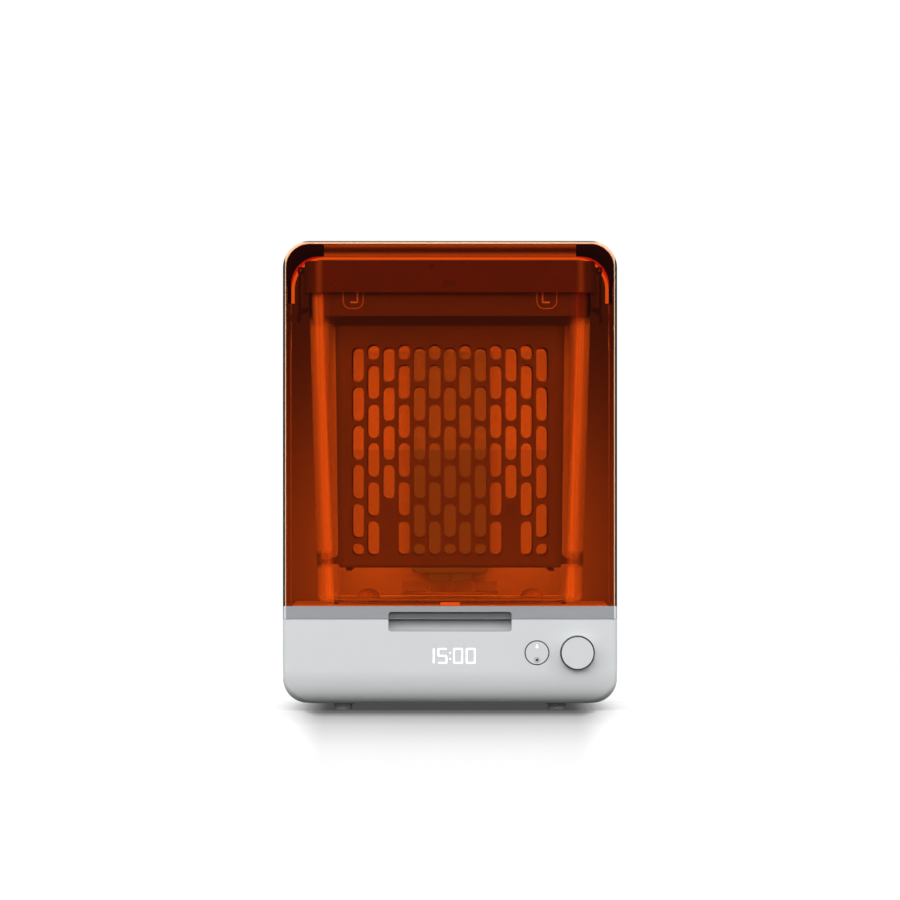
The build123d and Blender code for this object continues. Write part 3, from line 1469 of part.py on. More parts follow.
PIECES = {
    "base_shell": build_base_shell,
    "base_plate": build_base_plate,
    "plate_screws": build_plate_screws,
    "feet": build_feet,
    "deck": build_deck,
    "hood_sensor": build_sensor,
    "mode_button": build_mode_button,
    "mode_switch": build_mode_switch,
    "front_board": build_front_board,
    "display_module": build_display,
    "board_posts": build_board_posts,
    "knob": build_knob,
    "knob_plunger": build_plunger,
    "encoder": build_encoder,
    "hood_shell": build_hood_shell,
    "hood_trim": build_hood_trim,
    "hinge_bushes": build_hinge_bushes,
    "hinge_pins": build_hinge_pins,
    "hinge_blocks": build_hinge_blocks,
    "column_front": build_column_front,
    "column_back": build_column_back,
    "column_screws": build_column_screws,
    "light_diffuser": build_diffuser,
    "led_board": build_led_board,
    "leds": build_leds,
    "heat_sink": build_heat_sink,
    "fan_frame": build_fan_frame,
    "fan_rotor": build_fan_rotor,
    "bucket": build_bucket,
    "impeller": build_impeller,
    "bucket_lid": build_lid,
    "lid_gasket": build_gasket,
    "latch_right": build_latch,
    "latch_left": build_latch_left,
    "latch_pins": build_latch_pins,
    "basket": build_basket,
    "basket_bails": build_bails,
    "drive_motor": build_motor,
    "motor_bracket": build_motor_bracket,
    "magnet_carrier": build_magnet_carrier,
    "drive_magnets": build_magnets,
    "control_board": build_control_board,
    "power_supply": build_power_supply,
    "power_inlet": build_inlet,
    "switch_frame": build_switch_frame,
    "rocker": build_rocker,
}


def main():
    """Builds every piece and writes it as a STEP file."""
    os.makedirs(PARTS, exist_ok=True)
    for name, builder in PIECES.items():
        export_step(builder(), os.path.join(PARTS, name + ".step"))


main()
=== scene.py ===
import json
import logging
import math
from dataclasses import dataclass
from enum import Enum
from typing import Iterable, Sequence

import bmesh
import bpy
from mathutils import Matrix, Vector

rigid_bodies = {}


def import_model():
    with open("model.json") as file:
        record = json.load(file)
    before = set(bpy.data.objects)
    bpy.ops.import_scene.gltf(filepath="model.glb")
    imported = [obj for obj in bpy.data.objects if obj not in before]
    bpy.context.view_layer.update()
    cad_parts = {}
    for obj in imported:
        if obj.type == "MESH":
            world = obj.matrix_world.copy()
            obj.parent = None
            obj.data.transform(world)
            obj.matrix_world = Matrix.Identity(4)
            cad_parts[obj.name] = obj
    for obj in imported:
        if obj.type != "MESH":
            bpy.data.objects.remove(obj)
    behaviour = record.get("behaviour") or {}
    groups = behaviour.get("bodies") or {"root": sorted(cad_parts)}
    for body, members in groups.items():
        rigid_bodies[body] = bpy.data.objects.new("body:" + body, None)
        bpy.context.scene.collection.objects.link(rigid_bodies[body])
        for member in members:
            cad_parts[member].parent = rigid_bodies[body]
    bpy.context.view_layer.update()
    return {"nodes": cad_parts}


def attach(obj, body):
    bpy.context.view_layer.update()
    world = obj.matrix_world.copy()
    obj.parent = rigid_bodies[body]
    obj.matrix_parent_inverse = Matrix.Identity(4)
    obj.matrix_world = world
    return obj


log = logging.getLogger("station")

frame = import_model()

Colour = tuple[float, float, float]
Point = tuple[float, float, float]
Range = tuple[float, float]
Socket = bpy.types.NodeSocket

PATTERN_MIDDLE: Range = (0.3, 0.7)
BEVEL_FROM = math.radians(35)
SMOOTH_BELOW = math.radians(40)


class Grain(Enum):
    """How a moulded surface is grained: the size and the depth of its grain in metres."""

    FINE = (0.0009, 0.00002)
    SPARK = (0.0016, 0.00005)
    SMOOTH = (0.012, 0.00002)


@dataclass(frozen=True)
class FrontFace:
    """The front wall of the base: the place of everything that shows on it."""

    y: float = -0.141
    proud: float = 0.00012
    sunk: float = 0.0001
    recess_half: float = 0.0535
    controls_z: float = 0.0505
    button_x: float = 0.0755
    knob_x: float = 0.1107

    @property
    def near(self) -> float:
        """Where a thin sign starts, just in front of the wall."""
        return self.y - self.proud

    @property
    def far(self) -> float:
        """Where a thin sign ends, just inside the wall."""
        return self.y + self.sunk


FACE = FrontFace()


# ------------------------------------------------------------------ colours
def neutral(level: float) -> Colour:
    """A grey of one level."""
    return level, level, level


def scaled(colour: Colour, factor: float) -> Colour:
    """A colour made lighter or darker by a factor."""
    return tuple(min(1.0, part * factor) for part in colour)


# ------------------------------------------------------------------ shader sheets
class Nodes:
    """A node tree, with short ways to add and join its nodes."""

    def __init__(self, tree: bpy.types.NodeTree, output: str) -> None:
        """Empties a tree and gives it its output.

        Args:
            tree: the tree of a material or a world.
            output: the output node's type.
        """
        self.tree = tree
        self.tree.nodes.clear()
        self.out = self.add(output)
        self.place = self.add("ShaderNodeTexCoord")

    def add(self, kind: str, **values: object) -> bpy.types.Node:
        """Adds a node and sets its properties.

        Args:
            kind: the node's type.
            **values: property names of the node and their values.

        Returns:
            The new node.
        """
        node = self.tree.nodes.new(kind)
        for key, value in values.items():
            setattr(node, key, value)
        return node

    def join(self, start: Socket, end: Socket) -> None:
        """Links an output socket to an input socket."""
        self.tree.links.new(start, end)

    def noise(self, size: float, detail: float = 2.0, stretch: Point = (1.0, 1.0, 1.0)) -> Socket:
        """Adds a noise on the piece's own coordinates.

        Args:
            size: the pattern's size in metres.
            detail: the noise's octaves.
            stretch: how much finer the pattern is along each axis.

        Returns:
            The noise's grey output.
        """
        mapping = self.add("ShaderNodeMapping")
        mapping.inputs["Scale"].default_value = stretch
        self.join(self.place.outputs["Object"], mapping.inputs["Vector"])
        noise = self.add("ShaderNodeTexNoise")
        noise.inputs["Scale"].default_value = 1.0 / size
        noise.inputs["Detail"].default_value = detail
        self.join(mapping.outputs["Vector"], noise.inputs["Vector"])
        return noise.outputs["Fac"]

    def ramp(self, value: Socket, ends: Range, results: Range,
             kind: str = "LINEAR") -> Socket:
        """Maps one range of values onto another.

        Args:
            value: what is mapped.
            ends: the lowest and the highest value.
            results: what they become.
            kind: how it goes from one to the other.

        Returns:
            The mapped output.
        """
        node = self.add("ShaderNodeMapRange", interpolation_type=kind)
        for key, number in zip(("From Min", "From Max", "To Min", "To Max"), (*ends, *results)):
            node.inputs[key].default_value = number
        self.join(value, node.inputs["Value"])
        return node.outputs["Result"]

    def spread(self, grey: Socket, low: float, high: float) -> Socket:
        """Maps the middle of a grey pattern onto a range of values.

        Args:
            grey: the pattern.
            low: the value at its dark end.
            high: the value at its light end.

        Returns:
            The mapped output.
        """
        return self.ramp(grey, PATTERN_MIDDLE, (low, high))

    def tones(self, grey: Socket, first: Colour, second: Colour) -> Socket:
        """Blends two colours by a grey pattern.

        Args:
            grey: the pattern.
            first: the colour at its dark end.
            second: the colour at its light end.

        Returns:
            The colour output.
        """
        ramp = self.add("ShaderNodeValToRGB")
        for stop, place, colour in zip(ramp.color_ramp.elements, PATTERN_MIDDLE, (first, second)):
            stop.position = place
            stop.color = (*colour, 1.0)
        self.join(grey, ramp.inputs["Fac"])
        return ramp.outputs["Color"]

    def mottled(self, grey: Socket, colour: Colour, dark: float, light: float) -> Socket:
        """A colour that goes lighter and darker with a grey pattern.

        Args:
            grey: the pattern.
            colour: the colour.
            dark: its factor at the pattern's dark end.
            light: its factor at the pattern's light end.

        Returns:
            The colour output.
        """
        return self.tones(grey, scaled(colour, dark), scaled(colour, light))

    def relief(self, grey: Socket, depth: float, strength: float = 1.0) -> Socket:
        """Makes a bump from a grey pattern.

        Args:
            grey: the height pattern.
            depth: the relief's depth in metres.
            strength: how strongly it shows.

        Returns:
            The bump's normal output.
        """
        bump = self.add("ShaderNodeBump")
        bump.inputs["Distance"].default_value = depth
        bump.inputs["Strength"].default_value = strength
        self.join(grey, bump.inputs["Height"])
        return bump.outputs["Normal"]

    def axes(self) -> bpy.types.NodeOutputs:
        """Splits the piece's own coordinates.

        Returns:
            The X, Y and Z outputs.
        """
        split = self.add("ShaderNodeSeparateXYZ")
        self.join(self.place.outputs["Object"], split.inputs[0])
        return split.outputs

    def maths(self, operation: str, *terms: object) -> Socket:
        """Adds one sum of numbers or sockets.

        Args:
            operation: the kind of sum.
            *terms: numbers or output sockets.

        Returns:
            The result's output.
        """
        node = self.add("ShaderNodeMath", operation=operation)
        for place, term in zip(node.inputs, terms):
            if isinstance(term, (int, float)):
                place.default_value = term
            else:
                self.join(term, place)
        return node.outputs[0]

    def product(self, *terms: object) -> Socket:
        """Multiplies several numbers or sockets.

        Args:
            *terms: numbers or output sockets.

        Returns:
            The product's output.
        """
        result, *others = terms
        for term in others:
            result = self.maths("MULTIPLY", result, term)
        return result

    def diagonal(self, first: Socket, second: Socket) -> Socket:
        """The length over two measures that stand square to each other."""
        return self.maths("SQRT", self.maths("ADD", self.product(first, first), self.product(second, second)))

    def width(self) -> Socket:
        """How far a point lies from the piece's middle, to either side."""
        return self.maths("ABSOLUTE", self.axes()["X"])

    def step(self, value: Socket, start: float, end: float,
             low: float = 0.0, high: float = 1.0) -> Socket:
        """A soft step between two values.

        Args:
            value: what is measured.
            start: where the step starts.
            end: where it ends; it may be less than the start.
            low: the result before the step.
            high: the result behind it.

        Returns:
            The step's output.
        """
        if start < end:
            return self.ramp(value, (start, end), (low, high), "SMOOTHSTEP")
        return self.ramp(value, (end, start), (high, low), "SMOOTHSTEP")

    def blend(self, share: Socket, first: object, second: object) -> Socket:
        """Mixes two colours by a share.

        Args:
            share: nought gives the first, one the second.
            first: a colour or a colour output.
            second: a colour or a colour output.

        Returns:
            The mixed colour's output.
        """
        mix = self.add("ShaderNodeMix", data_type="RGBA")
        self.join(share, mix.inputs["Factor"])
        for socket, colour in ((mix.inputs[6], first), (mix.inputs[7], second)):
            if isinstance(colour, tuple):
                socket.default_value = (*colour, 1.0)
            else:
                self.join(colour, socket)
        return mix.outputs[2]

    def mixed(self, share: Socket, first: Socket, second: Socket) -> Socket:
        """Mixes two shaders by a share.

        Args:
            share: nought gives the first, one the second.
            first: a shader's output.
            second: a shader's output.

        Returns:
            The mixed shader's output.
        """
        mix = self.add("ShaderNodeMixShader")
        for place, source in zip(mix.inputs, (share, first, second)):
            self.join(source, place)
        return mix.outputs[0]

    def shader(self, **values: object) -> bpy.types.Node:
        """Adds the principled shader with constant values on its own sockets.

        Args:
            **values: socket names with underscores for spaces, and their values.

        Returns:
            The shader node.
        """
        node = self.add("ShaderNodeBsdfPrincipled")
        for key, value in values.items():
            node.inputs[key.replace("_", " ")].default_value = value
        return node


class Sheet(Nodes):
    """The node tree of one finish."""

    def __init__(self, name: str) -> None:
        """Starts an empty material.

        Args:
            name: the material's name.
        """
        self.material = bpy.data.materials.new(name)
        self.material.use_nodes = True
        super().__init__(self.material.node_tree, "ShaderNodeOutputMaterial")

    def close(self, surface: Socket) -> bpy.types.Material:
        """Joins the surface to the output and hands over the material."""
        self.join(surface, self.out.inputs["Surface"])
        return self.material


# ------------------------------------------------------------------ finishes
@dataclass(frozen=True)
class PaintedLightAndShade:
    """A place on a moulded surface where painted light or painted shade makes its colour lighter or darker,
    by a factor.
    """

    factor: float

    def share(self, sheet: Sheet) -> Socket:
        """How much of the painted light or shade a point takes.

        Args:
            sheet: the node tree it is worked out in.

        Returns:
            An output from nought to one.
        """
        raise NotImplementedError


@dataclass(frozen=True)
class PaintedRecessShade(PaintedLightAndShade):
    """Painted shade inside the finger recess of the front wall."""

    dark_z: float
    pale_z: float
    least: float = 0.12
    half_width: float = FACE.recess_half
    face_y: float = FACE.y
    side_fade: float = 0.0004
    lip: Range = (0.0002, 0.0014)
    back: Range = (0.022, 0.018)
    foot: Range = (0.0014, 0.0008)

    def share(self, sheet: Sheet) -> Socket:
        """How deep in the recess's painted shade a point lies.

        Args:
            sheet: the node tree it is worked out in.

        Returns:
            An output from nought, outside, to one, in the darkest place.
        """
        axes = sheet.axes()
        inside = sheet.step(sheet.width(), self.half_width + self.side_fade, self.half_width - self.side_fade)
        deep = sheet.step(axes["Y"], self.face_y + self.lip[0], self.face_y + self.lip[1])
        near = sheet.step(axes["Y"], self.face_y + self.back[0], self.face_y + self.back[1])
        level = sheet.step(axes["Z"], self.pale_z, self.dark_z, self.least, 1.0)
        floor = sheet.step(axes["Z"], self.pale_z - self.foot[0], self.pale_z - self.foot[1])
        return sheet.product(inside, deep, near, level, floor)


@dataclass(frozen=True)
class PaintedHighShade(PaintedLightAndShade):
    """Painted shade towards the top of a wall's two flanks, beyond its half width.

    A half width below nought takes in the whole piece.
    """

    half_width: float
    pale_z: float
    dark_z: float
    fade: float = 0.006

    def share(self, sheet: Sheet) -> Socket:
        """How much of the painted shade a point takes: more the higher it lies on the flanks."""
        flank = sheet.step(sheet.width(), self.half_width, self.half_width + self.fade)
        return sheet.product(flank, sheet.step(sheet.axes()["Z"], self.pale_z, self.dark_z))


@dataclass(frozen=True)
class PaintedEndHighlight(PaintedLightAndShade):
    """A painted highlight on the rounded ends of a band, which makes them paler."""

    start_x: float
    end_x: float
    soft: float = 0.0002

    def share(self, sheet: Sheet) -> Socket:
        """How much of the painted highlight a point takes: all of it between the two widths."""
        near = sheet.step(sheet.width(), self.start_x - self.soft, self.start_x + self.soft)
        return sheet.product(near, sheet.step(sheet.width(), self.end_x + self.soft, self.end_x - self.soft))


@dataclass(frozen=True)
class PaintedFootLight(PaintedLightAndShade):
    """Painted light towards a housing's rounded foot, which makes it paler."""

    start_z: float
    end_z: float

    def share(self, sheet: Sheet) -> Socket:
        """How much of the painted light a point takes: more the lower it lies."""
        return sheet.step(sheet.axes()["Z"], self.start_z, self.end_z)


@dataclass(frozen=True)
class MouldedPlastic:
    """Opaque moulded plastic with a fine grain and faint flow marks, and painted light or painted shade where
    its tones lie.
    """

    name: str
    colour: Colour
    roughness: float
    grain: Grain = Grain.FINE
    mottle: float = 0.03
    specular: float = 0.4
    tones: tuple[PaintedLightAndShade, ...] = ()
    cloud_size: float = 0.05
    rub_size: float = 0.02
    rub: float = 0.1
    relief: float = 0.6

    def build(self) -> bpy.types.Material:
        """Makes the finish.

        Returns:
            The material.
        """
        sheet = Sheet(self.name)
        shader = sheet.shader(Specular_IOR_Level=self.specular)
        cloud = sheet.noise(self.cloud_size, 3.0)
        colour = sheet.mottled(cloud, self.colour, 1.0 - self.mottle, 1.0 + self.mottle)
        # Each tone blends painted light or painted shade into the colour.
        for tone in self.tones:
            colour = sheet.blend(tone.share(sheet), colour, scaled(self.colour, tone.factor))
        sheet.join(colour, shader.inputs["Base Color"])
        low, high = self.roughness * (1.0 - self.rub), self.roughness * (1.0 + self.rub)
        sheet.join(sheet.spread(sheet.noise(self.rub_size, 4.0), low, high), shader.inputs["Roughness"])
        size, depth = self.grain.value
        sheet.join(sheet.relief(sheet.noise(size, 2.0), depth, self.relief), shader.inputs["Normal"])
        return sheet.close(shader.outputs["BSDF"])


@dataclass(frozen=True)
class PaintedEdgeLight:
    """A painted highlight on the rim of a tinted moulding, paler at the front edge, and a painted dark
    outline along its upright edges and top.

    rim_fade, deep_fade, pale_front and dark_front are shares of the rim's depth, deep_rise of its radius.
    """

    # The painted highlight's two colours, then the painted dark outline's colour.
    tint: Colour
    deep_highlight_tint: Colour
    outline: Colour = (0.006, 0.006, 0.006)
    cover: float = 0.75
    half_width: float = 0.145
    top: float = 0.408
    radius: float = 0.023
    depth: float = 0.0030
    front_y: float = FACE.y
    rim_fade: Range = (1.0, 0.75)
    deep_fade: Range = (0.5, 0.8)
    deep_rise: Range = (1.0, 0.5)
    pale_front: Range = (1.6, 0.9)
    dark_front: Range = (1.1, 0.9)
    side_line: Range = (0.0020, 0.0016)
    top_line: Range = (0.0014, 0.0010)
    top_share: float = 0.88

    def rim(self, sheet: Sheet, fade: Range) -> Socket:
        """How far into the rim a point lies, from its inner side out to the outline.

        Args:
            sheet: the node tree it is worked out in.
            fade: where the step starts and ends, as shares of the rim's depth.

        Returns:
            An output from nought to one.
        """
        side = sheet.maths("SUBTRACT", sheet.width(), self.half_width - self.radius)
        rise = sheet.maths("SUBTRACT", sheet.axes()["Z"], self.top - self.radius)
        reach = sheet.diagonal(sheet.maths("MAXIMUM", side, 0.0), sheet.maths("MAXIMUM", rise, 0.0))
        start, end = (self.radius - self.depth * share for share in fade)
        return sheet.step(reach, start, end)

    def front(self, sheet: Sheet, fade: Range) -> Socket:
        """How near to the front edge a point lies, from nought behind it to one at it.

        Args:
            sheet: the node tree it is worked out in.
            fade: where the step starts and ends, as shares of the rim's depth.

        Returns:
            An output from nought to one.
        """
        start, end = (self.front_y + self.depth * share for share in fade)
        return sheet.step(sheet.axes()["Y"], start, end)

    def deep(self, sheet: Sheet) -> Socket:
        """How much of the painted highlight's deeper tint a point takes: the rim's inner half, along the top
        and its corners.
        """
        start, end = (self.top - self.radius * share for share in self.deep_rise)
        return sheet.product(self.rim(sheet, self.deep_fade), sheet.step(sheet.axes()["Z"], start, end))

    def share(self, sheet: Sheet) -> Socket:
        """How much of the painted highlight a point takes: most at the front edge's outline."""
        return sheet.product(self.rim(sheet, self.rim_fade), self.front(sheet, self.pale_front))

    def dark(self, sheet: Sheet) -> Socket:
        """How much of the painted dark outline a point takes.

        Args:
            sheet: the node tree it is worked out in.

        Returns:
            An output that is highest in the last millimetres of the upright edges and the top.
        """
        start, end = self.side_line
        side = sheet.step(sheet.width(), self.half_width - start, self.half_width - end)
        start, end = self.top_line
        rise = sheet.step(sheet.axes()["Z"], self.top - start, self.top - end, 0.0, self.top_share)
        return sheet.product(sheet.maths("MAXIMUM", side, rise), self.front(sheet, self.dark_front))


@dataclass(frozen=True)
class PaintedCornerLight:
    """Painted light on the upright corners of a clear tub: a soft haze standing for the light they catch, and
    a painted highlight streak on each.

    Each streak leans out by streak_lean for every metre of height, from streak_x at the frame's origin.
    """

    haze: float
    start_x: float
    full_x: float
    front_y: float
    rear_y: float
    top: float
    wall_fade: float = 0.006
    top_fade: float = 0.015
    streak_share: float = 0.85
    streak_x: float = 0.1014
    streak_lean: float = 0.0366
    streak_half: float = 0.0018
    streak_fade: float = 0.0048
    left_share_above: float = 0.7
    outer_share: float = 0.4
    outer_fade: float = 0.008
    fin_z: float = 0.1315
    fin_notch: Range = (0.0035, 0.009)
    fin_share: float = 0.25
    middle: float = 0.001
    haze_grain: float = 0.004
    haze_stretch: Point = (1.0, 1.0, 0.02)
    haze_tones: Range = (0.8, 1.1)
    streak_grain: float = 0.0025
    streak_stretch: Point = (1.0, 1.0, 0.015)
    streak_tones: Range = (0.65, 1.05)

    def below_top(self, sheet: Sheet) -> Socket:
        """Nought at the tub's rim, one below it."""
        return sheet.step(sheet.axes()["Z"], self.top, self.top - self.top_fade)

    def painted_corner_haze(self, sheet: Sheet) -> Socket:
        """The painted haze of the corners behind the front wall, standing for the light they catch.

        Args:
            sheet: the node tree it is worked out in.

        Returns:
            How hazy a point is.
        """
        side = sheet.step(sheet.width(), self.start_x, self.full_x)
        rear = sheet.step(sheet.axes()["Y"], self.rear_y - self.wall_fade, self.rear_y)
        grain = sheet.spread(sheet.noise(self.haze_grain, 2.0, self.haze_stretch), *self.haze_tones)
        return sheet.product(side, rear, self.below_top(sheet), grain, self.haze)

    def painted_highlight_streak(self, sheet: Sheet) -> Socket:
        """The painted highlight streak on each front corner, leaning, notched where the basket's fins stand
        behind it.

        Args:
            sheet: the node tree it is worked out in.

        Returns:
            How hazy a point is.
        """
        axes, below = sheet.axes(), self.below_top(sheet)
        middle = sheet.maths("ADD", sheet.product(axes["Z"], self.streak_lean), self.streak_x)
        off = sheet.maths("ABSOLUTE", sheet.maths("SUBTRACT", sheet.width(), middle))
        band = sheet.step(off, self.streak_half + self.streak_fade, self.streak_half)
        grain = sheet.spread(sheet.noise(self.streak_grain, 3.0, self.streak_stretch), *self.streak_tones)
        left = sheet.step(axes["X"], self.middle, -self.middle, 0.0, self.left_share_above)
        band = sheet.product(band, band, grain, sheet.maths("MAXIMUM", below, left))
        outer = sheet.step(sheet.width(), self.full_x, self.full_x + self.outer_fade, 0.0, self.outer_share)
        from_fin = sheet.maths("ABSOLUTE", sheet.maths("SUBTRACT", axes["Z"], self.fin_z))
        notch = sheet.step(from_fin, *self.fin_notch, self.fin_share, 1.0)
        front = sheet.step(axes["Y"], self.front_y + self.wall_fade, self.front_y)
        return sheet.product(sheet.maths("MAXIMUM", band, sheet.product(outer, below)), notch, front,
                             self.streak_share)

    def share(self, sheet: Sheet) -> Socket:
        """How much painted haze and painted highlight a point takes: most in the upright corners."""
        return sheet.maths("MAXIMUM", self.painted_corner_haze(sheet), self.painted_highlight_streak(sheet))


@dataclass(frozen=True)
class ClearPlastic:
    """See-through moulded plastic with a tint, a little haze and faint waves, and, where given, painted light
    on its edge and its corners.
    """

    name: str
    tint: Colour
    roughness: float
    index: float
    haze: float
    edge: PaintedEdgeLight | None = None
    corners: PaintedCornerLight | None = None
    gloss: float = 0.5
    smear_size: float = 0.03
    smear_stretch: Point = (1.0, 1.0, 0.6)
    smear: float = 0.4
    wave_size: float = 0.06
    wave_depth: float = 0.00004
    wave: float = 0.15

    def rim(self, sheet: Sheet, shader: bpy.types.Node) -> None:
        """Lays the painted highlight on the edge and the painted dark, dull outline.

        Args:
            sheet: the node tree.
            shader: the plastic's shader.
        """
        pale, dark = self.edge.share(sheet), self.edge.dark(sheet)
        light = sheet.blend(self.edge.deep(sheet), self.edge.tint, self.edge.deep_highlight_tint)
        colour = sheet.blend(dark, sheet.blend(pale, self.tint, light), self.edge.outline)
        cover = sheet.maths("MAXIMUM", sheet.product(pale, self.edge.cover), dark)
        clear = sheet.product(sheet.maths("SUBTRACT", 1.0, cover), 1.0 - self.haze)
        gloss = sheet.maths("SUBTRACT", self.gloss, sheet.product(dark, self.gloss))
        sheet.join(colour, shader.inputs["Base Color"])
        sheet.join(clear, shader.inputs["Transmission Weight"])
        sheet.join(gloss, shader.inputs["Specular IOR Level"])

    def build(self) -> bpy.types.Material:
        """Makes the finish.

        Returns:
            The material.
        """
        sheet = Sheet(self.name)
        shader = sheet.shader(Base_Color=(*self.tint, 1.0), IOR=self.index,
                              Transmission_Weight=1.0 - self.haze)
        if self.edge:
            self.rim(sheet, shader)
        # The corners take painted haze and a painted highlight streak in place of clear plastic.
        if self.corners:
            clear = sheet.maths("SUBTRACT", 1.0 - self.haze, self.corners.share(sheet))
            sheet.join(clear, shader.inputs["Transmission Weight"])
        smear = sheet.noise(self.smear_size, 5.0, self.smear_stretch)
        low, high = self.roughness * (1.0 - self.smear), self.roughness * (1.0 + self.smear)
        sheet.join(sheet.spread(smear, low, high), shader.inputs["Roughness"])
        wave = sheet.relief(sheet.noise(self.wave_size, 1.0), self.wave_depth, self.wave)
        sheet.join(wave, shader.inputs["Normal"])
        return sheet.close(shader.outputs["BSDF"])


@dataclass(frozen=True)
class Metal:
    """Bare metal, brushed along one axis."""

    name: str
    colour: Colour
    roughness: float
    stretch: Point = (1.0, 1.0, 1.0)
    line_size: float = 0.0008
    line_depth: float = 0.00001
    line_tones: Range = (0.9, 1.08)
    line_gloss: Range = (0.8, 1.25)
    relief: float = 0.5

    def build(self) -> bpy.types.Material:
        """Makes the finish.

        Returns:
            The material.
        """
        sheet = Sheet(self.name)
        shader = sheet.shader(Metallic=1.0)
        lines = sheet.noise(self.line_size, 3.0, self.stretch)
        sheet.join(sheet.mottled(lines, self.colour, *self.line_tones), shader.inputs["Base Color"])
        low, high = (self.roughness * share for share in self.line_gloss)
        sheet.join(sheet.spread(lines, low, high), shader.inputs["Roughness"])
        sheet.join(sheet.relief(lines, self.line_depth, self.relief), shader.inputs["Normal"])
        return sheet.close(shader.outputs["BSDF"])


@dataclass(frozen=True)
class Rubber:
    """Dull black rubber with dust in its pores."""

    name: str
    colour: Colour
    specular: float = 0.25
    pore_size: float = 0.0012
    pore_depth: float = 0.00006
    pore_tones: Range = (0.8, 1.5)
    pore_roughness: Range = (0.7, 0.9)
    relief: float = 0.8

    def build(self) -> bpy.types.Material:
        """Makes the finish.

        Returns:
            The material.
        """
        sheet = Sheet(self.name)
        shader = sheet.shader(Specular_IOR_Level=self.specular)
        pores = sheet.noise(self.pore_size, 3.0)
        sheet.join(sheet.mottled(pores, self.colour, *self.pore_tones), shader.inputs["Base Color"])
        sheet.join(sheet.spread(pores, *self.pore_roughness), shader.inputs["Roughness"])
        sheet.join(sheet.relief(pores, self.pore_depth, self.relief), shader.inputs["Normal"])
        return sheet.close(shader.outputs["BSDF"])


@dataclass(frozen=True)
class Lit:
    """A surface that shines by itself."""

    name: str
    colour: Colour
    strength: float
    roughness: float = 0.4
    patch_size: float = 0.004
    patch_tone: float = 0.96

    def build(self) -> bpy.types.Material:
        """Makes the finish.

        Returns:
            The material.
        """
        sheet = Sheet(self.name)
        shader = sheet.shader(Roughness=self.roughness, Emission_Strength=self.strength)
        colour = sheet.mottled(sheet.noise(self.patch_size, 2.0), self.colour, self.patch_tone, 1.0)
        sheet.join(colour, shader.inputs["Base Color"])
        sheet.join(colour, shader.inputs["Emission Color"])
        return sheet.close(shader.outputs["BSDF"])


@dataclass(frozen=True)
class CircuitBoard:
    """Solder mask with tracks and pads."""

    name: str
    mask: Colour = (0.012, 0.09, 0.035)
    track: Colour = (0.03, 0.17, 0.06)
    roughness: float = 0.35
    cells_per_metre: float = 220.0
    track_depth: float = 0.00004
    relief: float = 0.6

    def build(self) -> bpy.types.Material:
        """Makes the finish.

        Returns:
            The material.
        """
        sheet = Sheet(self.name)
        shader = sheet.shader(Roughness=self.roughness)
        cells = sheet.add("ShaderNodeTexVoronoi", feature="DISTANCE_TO_EDGE", distance="MANHATTAN")
        cells.inputs["Scale"].default_value = self.cells_per_metre
        sheet.join(sheet.place.outputs["Object"], cells.inputs["Vector"])
        step = sheet.spread(cells.outputs["Distance"], 1.0, 0.0)
        sheet.join(sheet.tones(step, self.mask, self.track), shader.inputs["Base Color"])
        sheet.join(sheet.relief(step, self.track_depth, self.relief), shader.inputs["Normal"])
        return sheet.close(shader.outputs["BSDF"])


